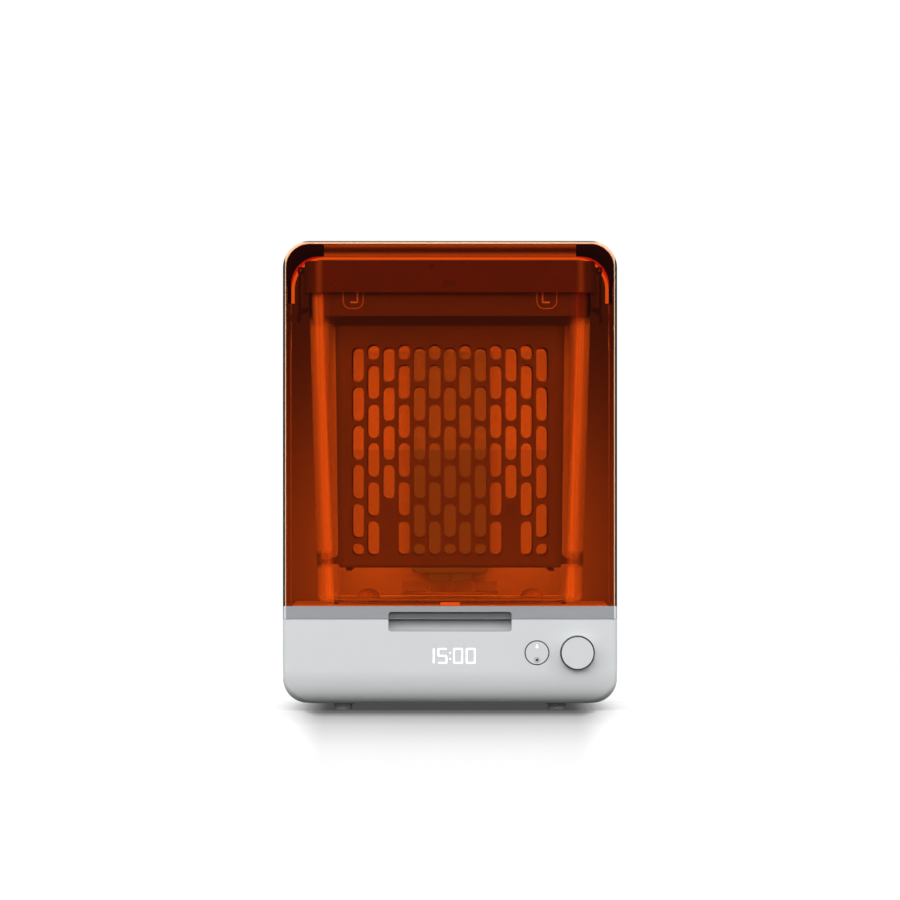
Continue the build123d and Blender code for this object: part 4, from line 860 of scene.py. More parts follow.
@dataclass(frozen=True)
class FloorPaper:
    """Pale paper with a painted soft shadow round the station and painted light close by it, clear towards
    its own far rim.

    Each of the painted shadow's stops is a share of its reach and the paper's level there.
    """

    name: str = "floor_paper"
    colour: Colour = (0.73, 0.73, 0.73)
    side_x: float = 0.112
    side_weight: float = 7.0
    ahead_y: float = 0.12
    painted_shadow_reach: float = 0.6
    painted_shadow_stops: tuple[Range, ...] = (
        (0.001, 0.15), (0.08, 0.075), (0.145, 0.26), (0.185, 0.51), (0.245, 0.60),
        (0.30, 0.665), (0.41, 0.79), (0.5, 0.87), (0.6, 0.91), (0.999, 1.0))
    beside: Range = (0.105, 0.140)
    beside_painted_lift: float = 0.42
    beside_front: Range = (0.06, 0.0)
    beside_front_share: float = 0.6
    near: Range = (0.12, 0.05)
    near_painted_lift: float = 0.065
    rim_scale: Point = (0.45, 0.45, 0.0)
    rim_fade: Range = (0.05, 0.55)
    mottle_size: float = 0.5
    mottle: float = 0.005

    def distances(self, sheet: Sheet) -> tuple[Socket, Socket]:
        """How far a point lies from the station.

        Args:
            sheet: the node tree it is worked out in.

        Returns:
            How far it lies in front of or behind the station, and how far from it in all.
        """
        side = sheet.maths("SUBTRACT", sheet.width(), self.side_x)
        side = sheet.product(sheet.maths("MAXIMUM", side, 0.0), self.side_weight)
        ahead = sheet.maths("SUBTRACT", sheet.maths("ABSOLUTE", sheet.axes()["Y"]), self.ahead_y)
        ahead = sheet.maths("MAXIMUM", ahead, 0.0)
        return ahead, sheet.diagonal(side, ahead)

    def with_painted_shadow(self, sheet: Sheet, away: Socket) -> Socket:
        """The paper's colour with the painted shadow: darker near the station.

        Args:
            sheet: the node tree.
            away: how far a point lies from the station.

        Returns:
            The colour output.
        """
        fade = sheet.add("ShaderNodeValToRGB")
        sheet.join(sheet.maths("DIVIDE", away, self.painted_shadow_reach), fade.inputs["Fac"])
        stops = fade.color_ramp.elements
        for place, level in self.painted_shadow_stops:
            stops.new(place).color = (*neutral(level), 1.0)
        for spare in (0, -1):
            stops.remove(stops[spare])
        tone = sheet.add("ShaderNodeMix", data_type="RGBA", blend_type="MULTIPLY")
        tone.inputs["Factor"].default_value = 1.0
        paper = sheet.mottled(sheet.noise(self.mottle_size), self.colour, 1.0 - self.mottle, 1.0)
        sheet.join(paper, tone.inputs[6])
        sheet.join(fade.outputs["Color"], tone.inputs[7])
        return tone.outputs[2]

    def painted_lift(self, sheet: Sheet, ahead: Socket, away: Socket) -> Socket:
        """How much painted light lifts the paper where it is seen: right beside the station and close round
        it.

        Args:
            sheet: the node tree.
            ahead: how far a point lies in front of or behind the station.
            away: how far it lies from the station in all.

        Returns:
            The glow's strength.
        """
        beside = sheet.product(sheet.step(sheet.width(), *self.beside, 0.0, self.beside_painted_lift),
                               sheet.step(ahead, *self.beside_front, self.beside_front_share, 1.0))
        painted_lift = sheet.maths("ADD", sheet.step(away, *self.near, 0.0, self.near_painted_lift), beside)
        return sheet.product(painted_lift, sheet.add("ShaderNodeLightPath").outputs["Is Camera Ray"])

    def whole(self, sheet: Sheet) -> Socket:
        """How whole the paper is.

        Args:
            sheet: the node tree it is worked out in.

        Returns:
            An output that is nought at the far rim and one well inside it.
        """
        ball = sheet.add("ShaderNodeTexGradient", gradient_type="SPHERICAL")
        shrink = sheet.add("ShaderNodeMapping")
        shrink.inputs["Scale"].default_value = self.rim_scale
        sheet.join(sheet.place.outputs["Object"], shrink.inputs["Vector"])
        sheet.join(shrink.outputs["Vector"], ball.inputs["Vector"])
        return sheet.step(ball.outputs["Fac"], *self.rim_fade)

    def build(self) -> bpy.types.Material:
        """Makes the finish.

        Returns:
            The material.
        """
        sheet = Sheet(self.name)
        ahead, away = self.distances(sheet)
        paper = sheet.add("ShaderNodeBsdfDiffuse")
        sheet.join(self.with_painted_shadow(sheet, away), paper.inputs["Color"])
        # A glow seen only by the camera: painted light.
        glow = sheet.add("ShaderNodeEmission")
        sheet.join(self.painted_lift(sheet, ahead, away), glow.inputs["Strength"])
        lit = sheet.add("ShaderNodeAddShader")
        sheet.join(paper.outputs[0], lit.inputs[0])
        sheet.join(glow.outputs[0], lit.inputs[1])
        clear = sheet.add("ShaderNodeBsdfTransparent")
        return sheet.close(sheet.mixed(self.whole(sheet), clear.outputs[0], lit.outputs[0]))


# ------------------------------------------------------------------ modelling helpers
def drop_selection() -> None:
    """Leaves nothing selected and nothing active."""
    for item in bpy.context.view_layer.objects:
        item.select_set(False)
    bpy.context.view_layer.objects.active = None


def pick(piece: bpy.types.Object) -> None:
    """Selects one piece alone and makes it active.

    Args:
        piece: the piece.
    """
    drop_selection()
    piece.select_set(True)
    bpy.context.view_layer.objects.active = piece


def settle(piece: bpy.types.Object, name: str) -> bpy.types.Object:
    """Applies a piece's place, turn and scale to its mesh and names it.

    Args:
        piece: the piece.
        name: its name.

    Returns:
        The same piece.
    """
    pick(piece)
    bpy.ops.object.transform_apply(location=True, rotation=True, scale=True)
    piece.name = name
    piece.data.name = name
    return piece


def bevelled(piece: bpy.types.Object, width: float, segments: int = 3) -> bpy.types.Object:
    """Rounds a piece's edges with an applied bevel.

    Args:
        piece: the piece.
        width: the bevel's width in metres.
        segments: its steps.

    Returns:
        The same piece.
    """
    pick(piece)
    modifier = piece.modifiers.new("edge", "BEVEL")
    modifier.width = width
    modifier.segments = segments
    modifier.limit_method = "ANGLE"
    modifier.angle_limit = BEVEL_FROM
    bpy.ops.object.modifier_apply(modifier=modifier.name)
    bpy.ops.object.shade_smooth_by_angle(angle=SMOOTH_BELOW)
    return piece


def bar(low: Point, high: Point) -> bpy.types.Object:
    """A block between two corners, as a start for a piece.

    Args:
        low: the lowest corner.
        high: the highest corner.

    Returns:
        The new object.
    """
    drop_selection()
    centre = [(a + b) / 2 for a, b in zip(low, high)]
    bpy.ops.mesh.primitive_cube_add(size=1.0, location=centre)
    piece = bpy.context.active_object
    piece.scale = [b - a for a, b in zip(low, high)]
    return settle(piece, "block")


def merged(pieces: Sequence[bpy.types.Object], name: str) -> bpy.types.Object:
    """Joins several pieces into one.

    Args:
        pieces: the pieces.
        name: the joined piece's name.

    Returns:
        The joined piece.
    """
    drop_selection()
    for piece in pieces:
        piece.select_set(True)
    bpy.context.view_layer.objects.active = pieces[0]
    if len(pieces) > 1:
        bpy.ops.object.join()
    return settle(pieces[0], name)


def dress(piece: bpy.types.Object, material: bpy.types.Material) -> None:
    """Gives a piece one material in all its slots.

    Args:
        piece: the piece.
        material: the material.
    """
    if piece.data.materials:
        for index in range(len(piece.data.materials)):
            piece.data.materials[index] = material
    else:
        piece.data.materials.append(material)


def dress_nodes(names: Iterable[str], material: bpy.types.Material) -> None:
    """Gives several frame nodes the same material.

    Args:
        names: the nodes' names.
        material: the material.
    """
    for name in names:
        dress(frame["nodes"][name], material)
        log.info("%s wears %s", name, material.name)


def lets_light_in(name: str) -> None:
    """Lets the lamps' light through a clear node, so that what is behind it is lit.

    Args:
        name: the node's name.
    """
    node = frame["nodes"][name]
    node.visible_shadow = False
    node.visible_diffuse = False


def carry(piece: bpy.types.Object, body: str) -> None:
    """Lets a new piece ride on a body and reports it.

    Args:
        piece: the piece.
        body: the body's name.
    """
    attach(piece, body)
    log.info("%s rides on %s", piece.name, body)


# ------------------------------------------------------------------ sub-assemblies
@dataclass
class TimeDisplay:
    """The lit digits of the time, behind the thin front wall.

    Inset and rounding are shares of a stroke's width, dot_rise is a share of the digits' height.
    """

    face: FrontFace = FACE
    centre_z: float = 0.0478
    height: float = 0.0137
    width: float = 0.0086
    stroke: float = 0.00155
    gap: float = 0.0002
    inset: float = 0.3
    rounding: float = 0.3
    dot_rise: float = 0.2
    signs: tuple[tuple[str, float], ...] = (
        ("1", -0.0177), ("5", -0.0066), (":", 0.0001), ("0", 0.0070), ("0", 0.0180))

    SEGMENTS = {"0": "abcdef", "1": "bc", "5": "afgcd"}

    def corners(self, segment: str, x: float) -> tuple[Point, Point]:
        """The corners of one segment of a digit.

        Args:
            segment: the segment's letter, a to g.
            x: the digit's centre.

        Returns:
            The lowest and highest corner.
        """
        half_w, half_h, half_stroke = self.width / 2, self.height / 2, self.stroke / 2
        inset = self.stroke * self.inset
        level = {"a": half_h - half_stroke, "g": 0.0, "d": -half_h + half_stroke}
        if segment in level:
            middle = self.centre_z + level[segment]
            reach = half_w - self.gap - inset
            low, high = (x - reach, middle - half_stroke), (x + reach, middle + half_stroke)
        else:
            side = x + (half_w - half_stroke) * (1 if segment in "bc" else -1)
            bottom, top = (self.gap, half_h - inset) if segment in "bf" else (inset - half_h, -self.gap)
            low = (side - half_stroke, self.centre_z + bottom)
            high = (side + half_stroke, self.centre_z + top)
        return (low[0], self.face.near, low[1]), (high[0], self.face.far, high[1])

    def segment(self, low: Point, high: Point) -> bpy.types.Object:
        """One stroke with rounded corners, standing just proud of the wall.

        Args:
            low: its lowest corner.
            high: its highest corner.

        Returns:
            The stroke.
        """
        stroke = bar(low, high)
        bpy.ops.object.mode_set(mode="EDIT")
        mesh = bmesh.from_edit_mesh(stroke.data)
        for edge in mesh.edges:
            first, last = edge.verts
            edge.select = abs(first.co.y - last.co.y) > (high[1] - low[1]) / 2
        bmesh.update_edit_mesh(stroke.data)
        bpy.ops.mesh.select_mode(type="EDGE")
        bpy.ops.mesh.bevel(offset=self.stroke * self.rounding, segments=4, affect="EDGES")
        bpy.ops.object.mode_set(mode="OBJECT")
        return stroke

    def strokes(self, sign: str, x: float) -> list[bpy.types.Object]:
        """The strokes of one sign.

        Args:
            sign: a digit or a colon.
            x: its centre.

        Returns:
            Its strokes, or the colon's two dots.
        """
        if sign in self.SEGMENTS:
            return [self.segment(*self.corners(letter, x)) for letter in self.SEGMENTS[sign]]
        half = self.stroke / 2
        dots = []
        for level in (-self.dot_rise, self.dot_rise):
            z = self.centre_z + level * self.height
            low, high = (x - half, self.face.near, z - half), (x + half, self.face.far, z + half)
            dots.append(self.segment(low, high))
        return dots

    def build(self) -> None:
        """Makes all strokes as one piece."""
        strokes = [stroke for sign, x in self.signs for stroke in self.strokes(sign, x)]
        piece = merged(strokes, "display_digits")
        dress(piece, Lit("lit_segments", neutral(1.0), strength=0.35).build())
        carry(piece, "base")


@dataclass
class ButtonSigns:
    """The two printed signs on the mode button: a drop for washing and a sun for curing.

    The drop is a disc whose upper half is drawn out by drop_stretch and narrowed by drop_narrow.
    """

    face: FrontFace = FACE
    drop_rise: float = 0.0051
    drop_radius: float = 0.00115
    drop_stretch: float = 1.1
    drop_narrow: float = 0.35
    sun_fall: float = 0.0062
    sun_radius: float = 0.0012
    rays: int = 8
    ray_reach: float = 0.0010
    ray_half_length: float = 0.0005
    ray_half_width: float = 0.00025

    def disc(self, z: float, radius: float, vertices: int) -> bpy.types.Object:
        """A thin round plate on the button's face.

        Args:
            z: its middle's height.
            radius: its radius.
            vertices: the number of points round it.

        Returns:
            The plate.
        """
        drop_selection()
        thick = self.face.proud + self.face.sunk
        bpy.ops.mesh.primitive_cylinder_add(vertices=vertices, radius=radius, depth=thick,
                                            location=(self.face.button_x, self.face.near + thick / 2, z),
                                            rotation=(math.pi / 2, 0, 0))
        return settle(bpy.context.active_object, "disc")

    def drop(self) -> None:
        """Makes the drop: a disc drawn out to a tip at its top."""
        x, centre = self.face.button_x, self.face.controls_z + self.drop_rise
        drop = self.disc(centre, self.drop_radius, vertices=32)
        for vertex in drop.data.vertices:
            rise = vertex.co.z - centre
            if rise > 0:
                share = rise / self.drop_radius
                vertex.co.z = centre + rise * (1.0 + self.drop_stretch * share ** 2)
                vertex.co.x = x + (vertex.co.x - x) * (1.0 - self.drop_narrow * share)
        settle(drop, "drop_sign")
        dress(drop, Lit("lit_sign", neutral(1.0), strength=0.35).build())
        carry(drop, "mode_button_body")

    def sun(self) -> None:
        """Makes the sun: a disc with short rays round it."""
        x, centre = self.face.button_x, self.face.controls_z - self.sun_fall
        parts = [self.disc(centre, self.sun_radius, vertices=24)]
        for ray in range(self.rays):
            turn = 2 * math.pi * ray / self.rays
            reach = self.sun_radius + self.ray_reach
            spoke = bar((-self.ray_half_length, self.face.near, -self.ray_half_width),
                        (self.ray_half_length, self.face.far, self.ray_half_width))
            spoke.rotation_euler = (0, -turn, 0)
            spoke.location = (x + reach * math.cos(turn), 0, centre + reach * math.sin(turn))
            parts.append(settle(spoke, "ray"))
        sun = merged(parts, "sun_sign")
        dress(sun, MouldedPlastic("printed_ink", (0.02, 0.02, 0.022), roughness=0.5).build())
        carry(sun, "mode_button_body")

    def build(self) -> None:
        """Makes both signs."""
        self.drop()
        self.sun()


@dataclass
class GapShadeRing:
    """A dark ring at the front edge of a round control, standing for the shade in the gap round it: painted
    shade.
    """

    name: str
    body: str
    x: float
    outer: float
    inner: float
    front_y: float
    rear_y: float
    z: float = FACE.controls_z
    edge_share: float = 0.25

    def build(self) -> None:
        """Makes the ring and lets it ride on its control."""
        drop_selection()
        depth, wall = self.rear_y - self.front_y, self.outer - self.inner
        bpy.ops.mesh.primitive_cylinder_add(
            vertices=96, radius=self.outer, depth=depth, end_fill_type="NOTHING",
            location=(self.x, (self.front_y + self.rear_y) / 2, self.z), rotation=(math.pi / 2, 0, 0))
        ring = settle(bpy.context.active_object, self.name)
        modifier = ring.modifiers.new("wall", "SOLIDIFY")
        modifier.thickness = wall
        modifier.offset = -1.0
        bpy.ops.object.modifier_apply(modifier=modifier.name)
        bevelled(ring, min(depth, wall) * self.edge_share, 2)
        settle(ring, self.name)
        # Black for the painted shade of the gap.
        dress(ring, MouldedPlastic(self.name + "_black", (0.02, 0.02, 0.022), roughness=0.6,
                                   mottle=0.1, specular=0.2).build())
        carry(ring, self.body)


@dataclass
class Base:
    """The pale housing with its cover, feet, deck and controls."""

    # Painted shade in the finger recess and painted light towards the rounded foot.
    shell: MouldedPlastic = MouldedPlastic(
        "housing_grey", (0.615, 0.63, 0.64), roughness=0.5, grain=Grain.SPARK, mottle=0.01,
        tones=(PaintedRecessShade(0.38, dark_z=0.0770, pale_z=0.0700, least=0.4),
               PaintedFootLight(1.58, start_z=0.034, end_z=0.008)))
    knob: MouldedPlastic = MouldedPlastic("knob_grey", (0.62, 0.635, 0.645), roughness=0.42, mottle=0.01)
    deck: MouldedPlastic = MouldedPlastic("deck_white", neutral(0.66), roughness=0.35, mottle=0.02)
    sensor: MouldedPlastic = MouldedPlastic("sensor_white", neutral(0.95), roughness=0.2,
                                            grain=Grain.SPARK, mottle=0.05)
    black: MouldedPlastic = MouldedPlastic("black_plastic", (0.02, 0.02, 0.022), roughness=0.4, mottle=0.1)
    steel: Metal = Metal("screw_steel", neutral(0.5), roughness=0.3)

    def build(self) -> None:
        """Dresses the housing's nodes and adds the signs."""
        dress_nodes(["base_shell", "base_plate"], self.shell.build())
        dress_nodes(["knob", "mode_button"], self.knob.build())
        dress_nodes(["deck"], self.deck.build())
        dress_nodes(["hood_sensor"], self.sensor.build())
        dress_nodes(["mode_switch", "encoder", "power_inlet", "switch_frame", "rocker",
                     "board_posts", "power_supply"], self.black.build())
        dress_nodes(["feet"], Rubber("foot_rubber", neutral(0.3)).build())
        dress_nodes(["plate_screws", "knob_plunger"], self.steel.build())
        dress_nodes(["display_module"], Lit("display_block", neutral(0.8), strength=0.1).build())
        dress_nodes(["front_board", "control_board", "led_board"], CircuitBoard("solder_mask").build())
        TimeDisplay().build()
        ButtonSigns().build()
        # Dark rings round the knob and the button: painted shade of their gaps.
        GapShadeRing("knob_edge_ring", "knob_body", x=FACE.knob_x, outer=0.01463, inner=0.0137,
                 front_y=-0.15005, rear_y=-0.1485).build()
        GapShadeRing("button_edge_ring", "mode_button_body", x=FACE.button_x, outer=0.0105, inner=0.0098,
                 front_y=-0.14105, rear_y=-0.1404).build()


@dataclass
class Hood:
    """The orange see-through hood with its grey band."""

    # The rim takes a painted highlight and a painted dark outline.
    clear: ClearPlastic = ClearPlastic(
        "orange_clear", (0.766, 0.078, 0.003), roughness=0.015, index=1.49, haze=0.004,
        edge=PaintedEdgeLight(tint=(1.0, 0.68, 0.42), deep_highlight_tint=(1.0, 0.24, 0.05)))
    # Painted shade in the band's finger notch and painted highlights on its rounded ends.
    band: MouldedPlastic = MouldedPlastic(
        "band_grey", (0.30, 0.31, 0.325), roughness=0.35, mottle=0.02,
        tones=(PaintedRecessShade(0.42, dark_z=0.0810, pale_z=0.0795),
               PaintedEndHighlight(2.2, start_x=0.1424, end_x=0.1441)))
    bush: MouldedPlastic = MouldedPlastic("bush_black", neutral(0.03), roughness=0.35, mottle=0.1)
    # Painted shade towards the strip's top.
    strip: MouldedPlastic = MouldedPlastic(
        "strip_grey", neutral(0.42), roughness=0.45,
        tones=(PaintedHighShade(0.08, half_width=-1.0, pale_z=0.4000, dark_z=0.4042),))
    strip_low: Point = (-0.1127, 0.1340, 0.3994)
    strip_high: Point = (0.1127, 0.1374, 0.40495)
    strip_edge: float = 0.0006

    def build(self) -> None:
        """Dresses the hood's nodes."""
        dress_nodes(["hood_shell"], self.clear.build())
        lets_light_in("hood_shell")
        dress_nodes(["hood_trim"], self.band.build())
        dress_nodes(["hinge_bushes", "hinge_blocks"], self.bush.build())
        dress_nodes(["hinge_pins"], Metal("pin_steel", neutral(0.6), roughness=0.25).build())
        self.stop_strip()

    def stop_strip(self) -> None:
        """Adds the grey stop strip under the roof, along the rear opening."""
        strip = bevelled(bar(self.strip_low, self.strip_high), self.strip_edge)
        settle(strip, "hood_stop_strip")
        dress(strip, self.strip.build())
        carry(strip, "hood")


@dataclass
class Column:
    """The rear column with the lamp and the fan."""

    # Painted shade high on the wall's flanks.
    wall: MouldedPlastic = MouldedPlastic(
        "column_grey", neutral(0.2), roughness=0.45, grain=Grain.SPARK, mottle=0.02, specular=0.3,
        tones=(PaintedHighShade(0.3, half_width=0.112, pale_z=0.12, dark_z=0.33),))
    cover: MouldedPlastic = MouldedPlastic("cover_grey", (0.55, 0.56, 0.57), roughness=0.5,
                                           grain=Grain.SPARK, mottle=0.02)
    milk: MouldedPlastic = MouldedPlastic("lamp_milk", (0.085, 0.115, 0.13), roughness=0.7,
                                          grain=Grain.SMOOTH, mottle=0.02, specular=0.1)
    fan: MouldedPlastic = MouldedPlastic("fan_black", neutral(0.02), roughness=0.45, mottle=0.1)
    lens: ClearPlastic = ClearPlastic("lens", (0.9, 0.9, 1.0), roughness=0.1, index=1.5, haze=0.1)
    fins: Metal = Metal("heat_sink_aluminium", (0.75, 0.76, 0.78), roughness=0.3, stretch=(1.0, 1.0, 0.1))

    def build(self) -> None:
        """Dresses the column's nodes."""
        dress_nodes(["column_front"], self.wall.build())
        dress_nodes(["column_back"], self.cover.build())
        dress_nodes(["column_screws"], Metal("cover_screw_steel", neutral(0.5), roughness=0.3).build())
        dress_nodes(["light_diffuser"], self.milk.build())
        dress_nodes(["leds"], self.lens.build())
        dress_nodes(["heat_sink"], self.fins.build())
        dress_nodes(["fan_frame", "fan_rotor"], self.fan.build())


@dataclass
class FloorStuds:
    """Two polished domed studs on the bucket's floor, each on a thin washer.

    The dome's radius is a share of the washer's, and its ridges stand out by a share of its radius.
    """

    x: float = 0.0713
    y: float = -0.078
    foot_z: float = 0.09795
    radius: float = 0.0112
    rise: float = 0.0078
    washer: float = 0.0012
    washer_edge: float = 0.0003
    dome_share: float = 0.82
    dome_sink: float = 0.0002
    facets: int = 12
    ridge: float = 0.035

    def dome(self, x: float) -> bpy.types.Object:
        """A low dome with upright ridges.

        Args:
            x: its middle.

        Returns:
            The dome.
        """
        radius, foot = self.radius * self.dome_share, self.foot_z + self.washer - self.dome_sink
        drop_selection()
        bpy.ops.mesh.primitive_uv_sphere_add(segments=self.facets * 2, ring_count=12, radius=radius,
                                             location=(x, self.y, foot))
        dome = bpy.context.active_object
        dome.scale.z = (self.rise - self.washer) / radius
        settle(dome, "dome")
        bpy.ops.object.mode_set(mode="EDIT")
        bpy.ops.mesh.select_all(action="SELECT")
        bpy.ops.mesh.bisect(plane_co=(x, self.y, foot), plane_no=(0, 0, 1), use_fill=True, clear_inner=True)
        bpy.ops.object.mode_set(mode="OBJECT")
        for vertex in dome.data.vertices:
            turn = math.atan2(vertex.co.y - self.y, vertex.co.x - x)
            ridge = 1.0 + self.ridge * math.cos(turn * self.facets)
            vertex.co.x = x + (vertex.co.x - x) * ridge
            vertex.co.y = self.y + (vertex.co.y - self.y) * ridge
        return dome

    def stud(self, x: float) -> bpy.types.Object:
        """One stud: a washer and a dome on it.

        Args:
            x: the stud's middle.

        Returns:
            The stud.
        """
        drop_selection()
        bpy.ops.mesh.primitive_cylinder_add(vertices=48, radius=self.radius, depth=self.washer,
                                            location=(x, self.y, self.foot_z + self.washer / 2))
        washer = bevelled(settle(bpy.context.active_object, "washer"), self.washer_edge, 2)
        return merged([washer, self.dome(x)], "stud")

    def build(self) -> None:
        """Makes both studs as one piece."""
        piece = merged([self.stud(-self.x), self.stud(self.x)], "bucket_floor_studs")
        dress(piece, MouldedPlastic("stud_pale", (0.42, 0.38, 0.36), roughness=0.12, grain=Grain.SPARK,
                                    mottle=0.35, specular=0.9).build())
        carry(piece, "bucket_body")


@dataclass
class PaintedEarHighlights:
    """A pale bead round each of the basket's four ears, a painted highlight along each ear's edge, and a pale
    lining in each ear's window, painted light seen through it.
    """

    x: float = 0.0842
    middle_y: float = -0.025
    half_depth: float = 0.0961
    half_width: float = 0.0086
    radius: float = 0.0062
    wire: float = 0.0005
    foot_z: float = 0.3496
    top_z: float = 0.3655
    window_x: float = 0.0798
    window_z: float = 0.3542
    window_top: float = 0.3635
    lining_width: float = 0.0014
    lining_sill: float = 0.0070
    lining_depths: Range = (0.0014, 0.0006)
    lining_edge: float = 0.0002

    def rod(self, place: Point, length: float, turn: Point) -> bpy.types.Object:
        """One straight run of the bead.

        Args:
            place: its middle.
            length: its length.
            turn: its turn from upright.

        Returns:
            The rod.
        """
        drop_selection()
        bpy.ops.mesh.primitive_cylinder_add(vertices=8, radius=self.wire, depth=length,
                                            location=place, rotation=turn)
        return settle(bpy.context.active_object, "rod")

    def corner(self, centre: Point, side: int) -> bpy.types.Object:
        """One quarter bend at the bead's foot.

        Args:
            centre: the point it bends about.
            side: -1 for the left bend, 1 for the right one.

        Returns:
            The bend.
        """
        drop_selection()
        bpy.ops.mesh.primitive_torus_add(location=centre, rotation=(math.pi / 2, 0, 0), major_segments=32,
                                         minor_segments=8, major_radius=self.radius, minor_radius=self.wire)
        bend = settle(bpy.context.active_object, "bend")
        bpy.ops.object.mode_set(mode="EDIT")
        for normal in ((0, 0, 1), (-side, 0, 0)):
            bpy.ops.mesh.select_all(action="SELECT")
            bpy.ops.mesh.bisect(plane_co=centre, plane_no=normal, use_fill=True, clear_outer=True)
        bpy.ops.object.mode_set(mode="OBJECT")
        return bend

    def bead(self, side: int, end: int) -> bpy.types.Object:
        """One U-shaped bead.

        Args:
            side: -1 on the left, 1 on the right.
            end: -1 in front, 1 behind.

        Returns:
            The bead.
        """
        x, y = side * self.x, self.middle_y + end * self.half_depth
        turn_z, reach = self.foot_z + self.radius, self.half_width - self.radius
        parts = [self.rod((x, y, self.foot_z), reach * 2, (0.0, math.pi / 2, 0.0))]
        for leg in (-1, 1):
            parts.append(self.corner((x + leg * reach, y, turn_z), leg))
            parts.append(self.rod((x + leg * self.half_width, y, (self.top_z + turn_z) / 2),
                                  self.top_z - turn_z, (0.0, 0.0, 0.0)))
        return merged(parts, "bead")

    def lining(self, side: int, end: int) -> bpy.types.Object:
        """One L-shaped lining along a window's inner edge and sill.

        Args:
            side: -1 on the left, 1 on the right.
            end: -1 in front, 1 behind.

        Returns:
            The lining.
        """
        faces = [self.middle_y + end * (self.half_depth - depth) for depth in self.lining_depths]
        low_y, high_y = sorted(faces)
        parts = []
        for width, top in ((self.lining_width, self.window_top),
                           (self.lining_sill, self.window_z + self.lining_width)):
            low_x, high_x = sorted((side * self.window_x, side * (self.window_x + width)))
            block = bar((low_x, low_y, self.window_z), (high_x, high_y, top))
            parts.append(bevelled(block, self.lining_edge, 1))
        return merged(parts, "lining")

    def build(self) -> None:
        """Makes the beads as one piece and the linings as another."""
        ears = [(side, end) for side in (-1, 1) for end in (-1, 1)]
        beads = merged([self.bead(*ear) for ear in ears], "basket_ear_highlight_beads")
        # Pale grey for the painted highlight.
        dress(beads, MouldedPlastic("bead_highlight_grey", (0.62, 0.60, 0.58), roughness=0.4,
                                    grain=Grain.SMOOTH, mottle=0.05).build())
        carry(beads, "bucket_body")
        linings = merged([self.lining(*ear) for ear in ears], "basket_ear_light_linings")
        # White for the painted light in the windows.
        dress(linings, MouldedPlastic("lining_light_white", neutral(0.95), roughness=0.4,
                                      grain=Grain.SMOOTH).build())
        carry(linings, "bucket_body")


@dataclass
class WashBucket:
    """The clear bucket with its dark lid, latches, basket and stirrer."""

    # Painted haze and painted highlight streaks on the corners.
    clear: ClearPlastic = ClearPlastic(
        "bucket_clear", neutral(0.97), roughness=0.02, index=1.49, haze=0.004,
        corners=PaintedCornerLight(haze=0.72, start_x=0.096, full_x=0.103, front_y=-0.1, rear_y=0.05, top=0.345))
    # Painted highlights on the lid's rounded ends.
    lid: MouldedPlastic = MouldedPlastic(
        "lid_dark", (0.052, 0.055, 0.056), roughness=0.3, mottle=0.04,
        tones=(PaintedEndHighlight(4.0, start_x=0.1115, end_x=0.1160, soft=0.0025),))
    latch: MouldedPlastic = MouldedPlastic("latch_dark", neutral(0.018), roughness=0.4, mottle=0.04)
    # Painted shade towards the basket's top.
    basket: MouldedPlastic = MouldedPlastic(
        "basket_grey", neutral(0.17), roughness=0.5, mottle=0.04,
        tones=(PaintedHighShade(0.62, half_width=-1.0, pale_z=0.30, dark_z=0.345),))
    wire: Metal = Metal("wire_steel", neutral(0.55), roughness=0.25)
    stirrer: ClearPlastic = ClearPlastic("impeller_clear", neutral(0.95), roughness=0.4, index=1.06, haze=0.3)

    def build(self) -> None:
        """Dresses the bucket's nodes and adds its studs and the basket's beads and linings, which are painted
        highlights and painted light.
        """
        dress_nodes(["bucket"], self.clear.build())
        lets_light_in("bucket")
        dress_nodes(["bucket_lid"], self.lid.build())
        dress_nodes(["latch_left", "latch_right"], self.latch.build())
        dress_nodes(["lid_gasket"], Rubber("gasket_rubber", neutral(0.03)).build())
        dress_nodes(["basket"], self.basket.build())
        dress_nodes(["basket_bails", "latch_pins"], self.wire.build())
        FloorStuds().build()
        PaintedEarHighlights().build()
        dress_nodes(["impeller"], self.stirrer.build())
        lets_light_in("impeller")


@dataclass
class Drive:
    """The wash drive under the deck."""

    motor: Metal = Metal("motor_steel", neutral(0.5), roughness=0.35, stretch=(1, 1, 6))
    carrier: MouldedPlastic = MouldedPlastic("carrier_black", neutral(0.03), roughness=0.4, mottle=0.1)
    magnets: Metal = Metal("magnet_nickel", (0.6, 0.6, 0.62), roughness=0.2)

    def build(self) -> None:
        """Dresses the drive's nodes."""
        dress_nodes(["drive_motor", "motor_bracket"], self.motor.build())
        dress_nodes(["magnet_carrier"], self.carrier.build())
        dress_nodes(["drive_magnets"], self.magnets.build())


